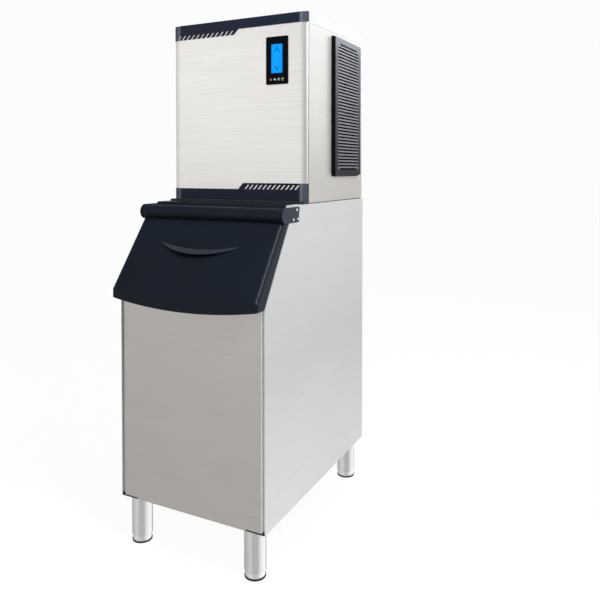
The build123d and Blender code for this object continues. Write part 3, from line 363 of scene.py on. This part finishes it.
def with_painted_corner_highlight(material, colour, start, end, shares):
    """Makes a moulding paler at its left and right ends with a painted highlight, strongest where its corners
    begin to turn.
    """
    tree, socket, plain = base_colour_of(material)
    distance = math_node(tree, "ABSOLUTE", coordinates_of(tree)["X"])
    corner_highlight = ramp(tree, remap(tree, distance, 0.0, 1.0, start, end),
                [(position, grey(share)) for position, share in shares])
    tree.links.new(mix_colours(tree, corner_highlight, plain, colour), socket)


def with_painted_height_reflection(material, node, tones):
    """Paints a reflection into a sheet's colour, toning it from a node's foot to its top as the steel would
    mirror a room's walls and floor.
    """
    tree, socket, plain = base_colour_of(material)
    low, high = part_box(node)
    tone = ramp(tree, remap(tree, coordinates_of(tree)["Z"], 0.0, 1.0, low[2], high[2]), tones)
    tree.links.new(multiply_colour(tree, plain, tone), socket)


# Finishes of this machine

head_roll_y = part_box("head_front_panel")[1][1] - 4.0 * MM
bin_roll_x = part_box("bin_front_panel")[1][0] - 5.0 * MM
trim_end_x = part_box("front_trim_top")[1][0]
grip_across, grip_upward, grip_lean = (-0.17, 0.17), (0.94, 1.06), (0.68, 0.99)
pad_height = 5.05 * MM

# Both stainless fronts carry a painted highlight on their rolled corner strips.
front_steel = brushed_steel("front_stainless", (0.83, 0.81, 0.785), contrast=0.09, roughness=(0.3, 0.4),
                            rolled=("Y", head_roll_y))
# Painted shade: the same stainless as the head's front, made darker where the lower front mirrors the floor.
bin_steel = brushed_steel("bin_front_stainless", (0.56, 0.535, 0.505), contrast=0.07, roughness=(0.3, 0.4),
                          rolled=("X", bin_roll_x))
side_steel = brushed_steel("side_stainless", (0.67, 0.675, 0.675), contrast=0.04, roughness=(0.32, 0.42),
                           streak_depth=0.05)
# Painted reflection: the side sheets are darker about their middle height.
with_painted_height_reflection(side_steel, "bin_side_right",
                 [(0.0, grey(1.0)), (0.3, grey(0.97)), (0.5, grey(0.91)), (0.7, grey(0.94)),
                  (1.0, grey(0.98))])
head_side_steel = brushed_steel("head_side_stainless", (0.53, 0.526, 0.508), contrast=0.07,
                                roughness=(0.3, 0.38), metallic=0.5, streak_depth=0.11)
# Painted reflection: the head's sides are warmer and darker towards their foot.
with_painted_height_reflection(head_side_steel, "head_side_right", [(0.0, (0.79, 0.76, 0.74)), (1.0, grey(1.0))])
deck_steel = brushed_steel("deck_stainless", grey(0.52), contrast=0.05, roughness=(0.48, 0.56), metallic=0.4)
leg_steel = plain_metal("leg_stainless", grey(0.80), roughness=(0.16, 0.2), contrast=0.02)
foot_steel = by_height("foot_steel_and_pad", grey(0.012), grey(0.97), pad_height)
back_steel = plain_metal("galvanised_steel", (0.60, 0.61, 0.63), roughness=(0.38, 0.55), grain=25.0,
                         contrast=0.1)
screw_steel = plain_metal("screw_steel", grey(0.88), roughness=(0.15, 0.22))
navy = moulded("navy_plastic", (0.0055, 0.0100, 0.0225), roughness=(0.24, 0.3), gloss=0.14)
trim_navy = moulded("trim_plastic", (0.0055, 0.0100, 0.0225), roughness=(0.24, 0.3), gloss=0.14)
# Painted highlight near each end of the trims, where their corners turn.
with_painted_corner_highlight(trim_navy, (0.125, 0.138, 0.17), trim_end_x - 37 * MM, trim_end_x - 7 * MM,
                  [(0.0, 0.0), (0.2, 0.12), (0.4, 1.0), (0.62, 0.45), (1.0, 0.3)])
door_navy = moulded("door_plastic", (0.0070, 0.0099, 0.0160), roughness=(0.3, 0.36), gloss=0.08)
# Painted highlight on the grip's upward-facing ramp.
with_painted_grip_highlight(door_navy, (0.024, 0.029, 0.040), grip_across, grip_upward, grip_lean)
black = moulded("black_plastic", (0.010, 0.010, 0.012), roughness=(0.35, 0.5), gloss=0.3)
gloss_black = moulded("panel_plastic", (0.002, 0.002, 0.003), roughness=(0.14, 0.2), depth=0.02, gloss=0.03)
# Painted light on the grilles: sheen on the frame, highlight on the bars, shade on the inner walls.
grille_black = louvred("grille_plastic",
                       [(0.0, (0.008, 0.008, 0.011)), (0.5, (0.033, 0.033, 0.042)),
                        (0.85, (0.085, 0.087, 0.105)), (1.0, (0.2, 0.21, 0.24))],
                       [(0.0, (0.11, 0.112, 0.132)), (0.6, (0.165, 0.168, 0.19)),
                        (1.0, (0.21, 0.213, 0.235))],
                       (0.002, 0.002, 0.003))
white = moulded("food_grade_white", (0.74, 0.75, 0.74), roughness=(0.28, 0.4), contrast=0.03)
grey_plastic = moulded("grey_plastic", (0.40, 0.42, 0.44), roughness=(0.4, 0.5))
clear = clear_plastic("clear_plastic", (0.8, 0.88, 0.93))
seal = rubber("seal_rubber", (0.008, 0.008, 0.009))
insulation = foam("foamed_insulation")
nickel = plain_metal("nickel_plate", (0.72, 0.7, 0.66), roughness=(0.15, 0.28))
copper = plain_metal("copper_tube", (0.78, 0.4, 0.26), roughness=(0.2, 0.36), grain=40.0, contrast=0.12)
brass = plain_metal("brass_fitting", (0.78, 0.6, 0.28), roughness=(0.2, 0.32))
motor_paint = moulded("motor_enamel", (0.015, 0.015, 0.017), roughness=(0.22, 0.34), grain=300.0, depth=0.15)
fins = finned("condenser_fins", (0.5, 0.51, 0.52), 6.486 * MM)
blade_metal = plain_metal("fan_aluminium", (0.7, 0.71, 0.72), roughness=(0.25, 0.4))

dress = {
    front_steel: ["head_front_panel"],
    bin_steel: ["bin_front_panel"],
    side_steel: ["bin_side_right", "bin_side_left", "head_lid", "bin_rear_panel", "head_rear_panel",
                 "tie_plates"],
    deck_steel: ["bin_deck"],
    head_side_steel: ["head_side_right", "head_side_left"],
    leg_steel: ["leg_tubes"],
    foot_steel: ["foot_front_left", "foot_rear_left", "foot_front_right", "foot_rear_right"],
    back_steel: ["head_base_pan", "partition_wall", "electrical_box"],
    screw_steel: ["plate_screws"],
    navy: ["hinge_plate_right", "hinge_plate_left"],
    trim_navy: ["front_trim_top", "front_trim_bottom"],
    door_navy: ["door_shell"],
    black: ["fan_shroud", "cord_gland", "bin_bottom_pan"],
    grille_black: ["vent_grille_right", "vent_grille_left"],
    gloss_black: ["control_bezel", "display_module", "power_key", "wash_key", "timer_key", "lamp_key"],
    white: ["bin_liner", "door_liner", "water_trough", "water_distributor", "evaporator_frame"],
    grey_plastic: ["pump_impeller", "drain_fitting"],
    clear: ["water_curtain", "float_arm", "float_valve"],
    insulation: ["bin_insulation"],
    seal: ["deck_gasket", "door_gasket", "compressor_grommets"],
    nickel: ["evaporator_plate"],
    copper: ["refrigerant_tubing", "filter_drier"],
    brass: ["hot_gas_valve", "water_inlet"],
    motor_paint: ["compressor", "pump_motor", "fan_motor"],
    fins: ["condenser"],
    blade_metal: ["fan_blades"],
}
for material, names in dress.items():
    for name in names:
        slots = nodes[name].data.materials
        slots.clear()
        slots.append(material)


# Shapes of the detail pieces

def finish_piece(name, mesh, material, body, bevel=0.0):
    data = bpy.data.meshes.new(name)
    bmesh.ops.recalc_face_normals(mesh, faces=mesh.faces)
    mesh.to_mesh(data)
    mesh.free()
    piece = bpy.data.objects.new(name, data)
    scene.collection.objects.link(piece)
    data.materials.append(material)
    if bevel:
        modifier = piece.modifiers.new("edge", "BEVEL")
        modifier.width = bevel
        modifier.segments = 2
        modifier.limit_method = "ANGLE"
    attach(piece, body)


def prism(mesh, near_points, far_points):
    """A closed solid between two outlines of as many corners."""
    near = [mesh.verts.new(point) for point in near_points]
    far = [mesh.verts.new(point) for point in far_points]
    mesh.faces.new(near)
    mesh.faces.new(far[::-1])
    for index in range(len(near)):
        after = (index + 1) % len(near)
        mesh.faces.new((near[index], far[index], far[after], near[after]))


def add_outline(mesh, points, y_back, y_front):
    """A flat shape in X and Z with its face towards -Y."""
    prism(mesh, [(x, y_front, z) for x, z in points], [(x, y_back, z) for x, z in points])


def stroke(mesh, points, width, y_back, y_front, closed=False):
    """A line of constant width through the points, mitred at its corners."""
    count = len(points)
    left, right = [], []
    for index, (x, z) in enumerate(points):
        before = points[index - 1] if index or closed else points[index]
        after = points[(index + 1) % count] if index < count - 1 or closed else points[index]
        first = (x - before[0], z - before[1])
        second = (after[0] - x, after[1] - z)
        if first == (0, 0):
            first = second
        if second == (0, 0):
            second = first
        a = math.atan2(first[1], first[0])
        b = math.atan2(second[1], second[0])
        turn = math.atan2(math.sin(b - a), math.cos(b - a))
        normal = a + turn / 2 + math.pi / 2
        reach = width / 2 / max(0.4, math.cos(turn / 2))
        left.append((x + reach * math.cos(normal), z + reach * math.sin(normal)))
        right.append((x - reach * math.cos(normal), z - reach * math.sin(normal)))
    for index in range(count if closed else count - 1):
        after = (index + 1) % count
        add_outline(mesh, [left[index], left[after], right[after], right[index]], y_back, y_front)


def arc(x, z, radius, start, end, count=20):
    """Points of an arc between two angles in degrees."""
    angles = [math.radians(start + (end - start) * i / count) for i in range(count + 1)]
    return [(x + radius * math.cos(angle), z + radius * math.sin(angle)) for angle in angles]


def rounded_rectangle(x, z, width, height, radius):
    across, upward = width / 2 - radius, height / 2 - radius
    points = []
    for cx, cz, start in ((1, 1, 0), (-1, 1, 90), (-1, -1, 180), (1, -1, 270)):
        points += arc(x + cx * across, z + cz * upward, radius, start, start + 90, 6)
    return points


# Screen and keys

def make_screen():
    """The lit window and, just in front of it, an up and a down sign, a thin border and three dots."""
    window_rise, window_width, window_height, window_radius = 89.7 * MM, 43.0 * MM, 100.0 * MM, 1.6 * MM
    sunk, proud, sign_proud = 0.2 * MM, 0.12 * MM, 0.2 * MM
    inset, border_radius, border_line = 3.0 * MM, 3.0 * MM, 0.9 * MM
    sign_rise, across, upward, sign_line = 32 * MM, 9 * MM, 8 * MM, 3.0 * MM
    dot_spacing, dot_radius, dot_line = 6.0 * MM, 1.5 * MM, 0.8 * MM
    low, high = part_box("display_module")
    x, glass_y = (low[0] + high[0]) / 2, low[1]
    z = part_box("control_bezel")[0][2] + window_rise
    mesh = bmesh.new()
    add_outline(mesh, rounded_rectangle(x, z, window_width, window_height, window_radius),
                glass_y + sunk, glass_y - proud)
    blue = lit("screen_blue", (0.0, 0.23, 0.86), 0.5, gloss=0.1)
    finish_piece("screen_window", mesh, blue, "cabinet")

    mesh = bmesh.new()
    face = (glass_y - sign_proud / 2, glass_y - sign_proud)
    for way in (1, -1):
        middle = z + way * sign_rise
        stroke(mesh, [(x - across, middle - way * upward), (x, middle + way * upward),
                      (x + across, middle - way * upward)], sign_line, *face)
    stroke(mesh, rounded_rectangle(x, z, window_width - 2 * inset, window_height - 2 * inset, border_radius),
           border_line, *face, closed=True)
    for place in (-1, 0, 1):
        stroke(mesh, arc(x + place * dot_spacing, z, dot_radius, 0, 324, 9), dot_line, *face, closed=True)
    sign_blue = lit("screen_sign", (0.0, 0.03, 0.26), 0.05, gloss=0.1)
    finish_piece("screen_signs", mesh, sign_blue, "cabinet")


def power_sign(mesh, x, z, face):
    """A ring that is open at the top, with a bar in the gap."""
    radius, line, bar_low, bar_high = 3.4 * MM, 1.1 * MM, 0.6 * MM, 4.6 * MM
    stroke(mesh, arc(x, z, radius, 120, 420), line, *face)
    stroke(mesh, [(x, z + bar_low), (x, z + bar_high)], line, *face)


def wash_sign(mesh, x, z, face):
    """A star of three crossed lines."""
    reach, line = 4.2 * MM, 1.0 * MM
    for angle in (0, 60, 120):
        dx, dz = reach * math.cos(math.radians(angle)), reach * math.sin(math.radians(angle))
        stroke(mesh, [(x - dx, z - dz), (x + dx, z + dz)], line, *face)


def timer_sign(mesh, x, z, face):
    """A clock face with two hands."""
    radius, line, hand_line = 3.9 * MM, 1.0 * MM, 0.9 * MM
    long_hand, short_hand = (0.0, 2.6 * MM), (2.0 * MM, -1.2 * MM)
    stroke(mesh, arc(x, z, radius, 0, 342, 19), line, *face, closed=True)
    stroke(mesh, [(x + long_hand[0], z + long_hand[1]), (x, z), (x + short_hand[0], z + short_hand[1])],
           hand_line, *face)


def lamp_sign(mesh, x, z, face):
    """A lamp: a ring that is open at its foot, over two short bars."""
    radius, rise, ring_line = 3.2 * MM, 0.8 * MM, 1.0 * MM
    stroke(mesh, arc(x, z + rise, radius, -50, 230), ring_line, *face)
    for drop, reach, line in ((3.0 * MM, 1.8 * MM, 1.0 * MM), (4.6 * MM, 1.3 * MM, 0.9 * MM)):
        stroke(mesh, [(x - reach, z - drop), (x + reach, z - drop)], line, *face)


def make_key_signs():
    sunk, proud = 0.1 * MM, 0.08 * MM
    for key, draw, slot, colour in (("power", power_sign, "key_red", (0.72, 0.13, 0.1)),
                                    ("wash", wash_sign, "key_white", (0.75, 0.92, 0.95)),
                                    ("timer", timer_sign, "key_cyan", (0.3, 0.62, 0.66)),
                                    ("lamp", lamp_sign, "key_green", (0.62, 0.78, 0.16))):
        node = key + "_key"
        low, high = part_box(node)
        mesh = bmesh.new()
        draw(mesh, (low[0] + high[0]) / 2, (low[2] + high[2]) / 2, (low[1] + sunk, low[1] - proud))
        finish_piece(node + "_sign", mesh, lit(node + "_print", colour, 0.25), key + "_button")


# Sheet details of the bin

def make_corner_returns():
    """Returns of the side panels, folded in behind the rolled edges of the bin's front panel."""
    low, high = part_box("bin_front_panel")
    side_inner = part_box("bin_side_right")[0][0]
    sheet, back, front, slant = 0.7 * MM, 7.9 * MM, 1.0 * MM, 0.6 * MM
    foot_z, top_z = low[2] + 6 * MM, high[2] - 0.5 * MM
    fold = side_inner - sheet
    mesh = bmesh.new()
    for side in (-1, 1):
        profile = [(high[0], back), (side_inner, back), (side_inner, front), (fold, front + slant),
                   (fold, back - sheet), (high[0], back - sheet)]
        prism(mesh, [(side * x, low[1] + depth, foot_z) for x, depth in profile],
              [(side * x, low[1] + depth, top_z) for x, depth in profile])
    finish_piece("corner_returns", mesh, side_steel, "cabinet")


def make_deck_cover():
    """Dark strip with one groove, from the head's seal over the deck's edge and onto the door's seat: a cover
    piece whose darkness is also painted reflection for the steel deck there.
    """
    lean, seat_low_z, seat_length = math.radians(33.0), 0.847, 24 * MM
    sheet, gap = 1.8 * MM, 0.05 * MM
    left_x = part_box("bin_deck")[0][0] + 0.8 * MM
    right_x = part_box("hinge_plate_right")[0][0] - 2.0 * MM
    deck_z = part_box("bin_deck")[1][2]
    back_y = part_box("deck_gasket")[0][1] - 0.3 * MM
    edge_y = (deck_z - seat_low_z) * math.tan(lean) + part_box("bin_front_panel")[0][1]
    bend_y = edge_y - sheet * math.tan((math.pi / 2 - lean) / 2)
    top, groove = deck_z + sheet, deck_z + sheet * 0.4
    groove_back, groove_front, groove_wall = back_y - 4.7 * MM, back_y - 9.7 * MM, 1.0 * MM

    def on_seat(along, height):
        """A point (y, z) down the seat from the deck's edge and out from it."""
        return (edge_y - along * math.sin(lean) - height * math.cos(lean),
                deck_z - along * math.cos(lean) + height * math.sin(lean))

    profile = [(back_y, deck_z + gap), (back_y, top), (groove_back, top), (groove_back - groove_wall, groove),
               (groove_front + groove_wall, groove), (groove_front, top),
               (bend_y + 0.6 * MM, top), (bend_y - 0.5 * MM, deck_z + sheet * 0.72),
               on_seat(seat_length, sheet), on_seat(seat_length, gap), on_seat(0.1 * MM, gap)]
    mesh = bmesh.new()
    prism(mesh, [(left_x, y, z) for y, z in profile], [(right_x, y, z) for y, z in profile])
    finish_piece("deck_cover", mesh, door_navy, "cabinet", bevel=0.4 * MM)


# Details of the head

def make_filters():
    """Pleated air filters behind the grilles; their near-black cloth is painted shade seen through the slots.
    """
    folds, margin, depth, pleat = 36, 14 * MM, 4.0 * MM, 2.4 * MM
    cloth = filter_cloth("filter_mesh")
    for side, place in ((1, "right"), (-1, "left")):
        low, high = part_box("vent_grille_" + place)
        inner_x = low[0] if side > 0 else high[0]
        start, end = low[1] + margin, high[1] - margin
        lower, upper = [], []
        mesh = bmesh.new()
        for index in range(folds + 1):
            x = inner_x + side * (depth + pleat * (index % 2))
            y = start + (end - start) * index / folds
            lower.append(mesh.verts.new((x, y, low[2] + margin)))
            upper.append(mesh.verts.new((x, y, high[2] - margin)))
        for index in range(folds):
            mesh.faces.new((lower[index], lower[index + 1], upper[index + 1], upper[index]))
        finish_piece("filter_" + place, mesh, cloth, "cabinet")


def add_screw(mesh, x, y, z, radius, height):
    """A low domed head with a cross recess, facing +Y."""
    sides = 20
    profile = [(radius, 0.0), (radius, height * 0.35), (radius * 0.82, height * 0.8), (radius * 0.45, height)]
    angles = [2 * math.pi * i / sides for i in range(sides)]

    def ring(reaches, rise):
        return [mesh.verts.new((x + reach * math.cos(angle), y + rise, z + reach * math.sin(angle)))
                for reach, angle in zip(reaches, angles)]

    rings = [ring([distance] * sides, rise) for distance, rise in profile]
    star = ring([radius * (0.4 if i % 5 == 0 else 0.12) for i in range(sides)], height * 0.35)
    for inner, outer in zip(rings, rings[1:] + [star]):
        for i in range(sides):
            after = (i + 1) % sides
            mesh.faces.new((inner[i], inner[after], outer[after], outer[i]))
    mesh.faces.new(star)
    mesh.faces.new(rings[0][::-1])


def make_back_screws():
    """Screws round the edge of the head's rear panel."""
    low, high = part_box("head_rear_panel")
    inset, top_inset, spaces = 12 * MM, 48 * MM, 3
    screw_radius, screw_height, sunk = 4.2 * MM, 2.0 * MM, 0.05 * MM
    width = high[0] - low[0] - 2 * inset
    height = high[2] - low[2] - inset - top_inset
    mesh = bmesh.new()
    for i in range(spaces + 1):
        for j in range(spaces + 1):
            if i in (0, spaces) or j in (0, spaces):
                add_screw(mesh, low[0] + inset + width * j / spaces, high[1] - sunk,
                          low[2] + inset + height * i / spaces, screw_radius, screw_height)
    finish_piece("back_screws", mesh, screw_steel, "cabinet")


make_screen()
make_key_signs()
make_corner_returns()
make_deck_cover()
make_filters()
make_back_screws()


# Floor, light and camera

def make_floor():
    """A pale floor that the camera sees as white and that lets reflections look past it into the studio."""
    reach, camera_share = 60, 0.955
    mesh = bpy.data.meshes.new("floor")
    mesh.from_pydata([(-reach, -reach, 0), (reach, -reach, 0), (reach, reach, 0), (-reach, reach, 0)], [],
                     [(0, 1, 2, 3)])
    floor = bpy.data.objects.new("floor", mesh)
    scene.collection.objects.link(floor)
    material = bpy.data.materials.new("floor_pale")
    material.use_nodes = True
    tree = material.node_tree
    tree.nodes.clear()
    output = tree.nodes.new("ShaderNodeOutputMaterial")
    diffuse = tree.nodes.new("ShaderNodeBsdfDiffuse")
    diffuse.inputs["Color"].default_value = (*grey(0.86), 1)
    glow = tree.nodes.new("ShaderNodeEmission")
    glow.inputs["Color"].default_value = (*grey(1), 1)
    glow.inputs["Strength"].default_value = 1.0
    clear_floor = tree.nodes.new("ShaderNodeBsdfTransparent")
    path = tree.nodes.new("ShaderNodeLightPath")
    share = math_node(tree, "MULTIPLY", path.outputs["Is Camera Ray"], camera_share)
    seen = mix_shaders(tree, share, diffuse, glow)
    opening = mix_shaders(tree, path.outputs["Is Glossy Ray"], seen, clear_floor)
    tree.links.new(opening.outputs[0], output.inputs["Surface"])
    mesh.materials.append(material)


def make_studio():
    """A white backdrop for the camera, even ambient light, and soft boxes that only reflections see."""
    peak = 1.5
    world = bpy.data.worlds.new("studio")
    scene.world = world
    world.use_nodes = True
    tree = world.node_tree
    tree.nodes.clear()
    output = tree.nodes.new("ShaderNodeOutputWorld")
    ambient = tree.nodes.new("ShaderNodeBackground")
    ambient.inputs["Color"].default_value = (0.96, 0.975, 1.0, 1)
    ambient.inputs["Strength"].default_value = 0.45
    backdrop = tree.nodes.new("ShaderNodeBackground")
    backdrop.inputs["Color"].default_value = (*grey(0.974), 1)
    studio = tree.nodes.new("ShaderNodeBackground")
    studio.inputs["Strength"].default_value = peak * peak
    way = coordinates_of(tree, "Generated")
    angle = math_node(tree, "ARCTAN2", way["X"], math_node(tree, "MULTIPLY", way["Y"], -1.0))
    turn = remap(tree, angle, 0.0, 1.0, -math.pi, math.pi)
    height = remap(tree, way["Z"], 0.0, 1.0, -1.0, 1.0)

    def cards(across, upward):
        """Soft boxes round the horizon, as (degrees, level), each fading with height, as (z, level)."""
        room = ramp(tree, turn, [((degrees + 180) / 360, grey(level / peak)) for degrees, level in across])
        fade = ramp(tree, height, [((z + 1) / 2, grey(level / peak)) for z, level in upward])
        return multiply_colour(tree, room, fade)

    def added(first, second):
        node = tree.nodes.new("ShaderNodeVectorMath")
        node.operation = "ADD"
        tree.links.new(first, node.inputs[0])
        tree.links.new(second, node.inputs[1])
        return node.outputs["Vector"]

    front_cards = cards([(-180, 0.4), (-150, 0.6), (-68, 0.88), (-42, 1.0), (-28, 1.13), (-16, 1.1),
                         (-5, 0.84), (5, 0.56), (15, 0.3), (30, 0.06), (45, 0.0)],
                        [(-0.6, 0.6), (-0.45, 0.68), (-0.15, 0.82), (0.05, 1.0), (0.25, 0.97), (0.5, 0.3),
                         (0.66, 0.12), (1.0, 0.1)])
    corner_cards = cards([(-12, 0.0), (0, 0.16), (15, 0.42), (30, 0.62), (45, 0.7), (56, 0.3), (62, 0.0)],
                         [(-0.6, 0.8), (-0.45, 0.85), (-0.25, 0.65), (-0.1, 0.35), (0.0, 0.25), (1.0, 0.2)])
    side_cards = cards([(50, 0.0), (58, 0.5), (76, 0.85), (97, 1.02), (118, 1.12), (150, 1.2), (165, 0.95),
                        (180, 0.4)],
                       [(-0.5, 1.02), (-0.4, 0.98), (-0.27, 0.8), (-0.07, 1.0), (0.0, 0.78), (0.2, 1.02),
                        (0.4, 0.95), (0.7, 0.15), (1.0, 0.1)])
    tree.links.new(added(added(front_cards, corner_cards), side_cards), studio.inputs["Color"])
    path = tree.nodes.new("ShaderNodeLightPath")
    seen = math_node(tree, "MAXIMUM", path.outputs["Is Camera Ray"], path.outputs["Is Transmission Ray"])
    unseen = mix_shaders(tree, path.outputs["Is Glossy Ray"], ambient, studio)
    tree.links.new(mix_shaders(tree, seen, unseen, backdrop).outputs[0], output.inputs["Surface"])


def area_light(name, place, target_height, size, power, colour=(1, 1, 1)):
    """A rectangular lamp that looks at the middle of the machine at a height."""
    light = bpy.data.lights.new(name, "AREA")
    light.shape = "RECTANGLE"
    light.size, light.size_y = size
    light.energy = power
    light.color = colour
    holder = bpy.data.objects.new(name, light)
    scene.collection.objects.link(holder)
    holder.location = place
    x, y, fall = -place[0], -place[1], place[2] - target_height
    holder.rotation_euler = (math.atan2(math.hypot(x, y), fall), 0, math.atan2(-x, y))


def make_camera():
    """The photo's camera, fitted to the straight edges of the head and the bin."""
    downward_tilt, turn = 0.0238676, 0.474649
    data = bpy.data.cameras.new("camera")
    data.sensor_width = 36.0
    data.lens = 38.85
    data.shift_x = 0.025
    data.shift_y = -0.1918
    camera = bpy.data.objects.new("camera", data)
    scene.collection.objects.link(camera)
    camera.location = (1.2219, -2.09374, 1.27146)
    camera.rotation_euler = (math.pi / 2 - downward_tilt, 0, turn)
    scene.camera = camera


make_floor()
make_studio()
area_light("key_light", (-2.6, -2.8, 2.9), 1.1, size=(2.4, 2.4), power=4, colour=(1.0, 0.985, 0.96))
area_light("side_light", (2.5, -1.2, 3.1), 1.0, size=(0.35, 1.6), power=150, colour=(0.98, 0.99, 1.0))
area_light("top_light", (0.2, -0.6, 4.0), 1.0, size=(2.4, 2.4), power=34)
area_light("back_light", (0.5, 3.4, 2.4), 1.1, size=(2.0, 2.0), power=24)
make_camera()

scene.view_settings.view_transform = "Standard"
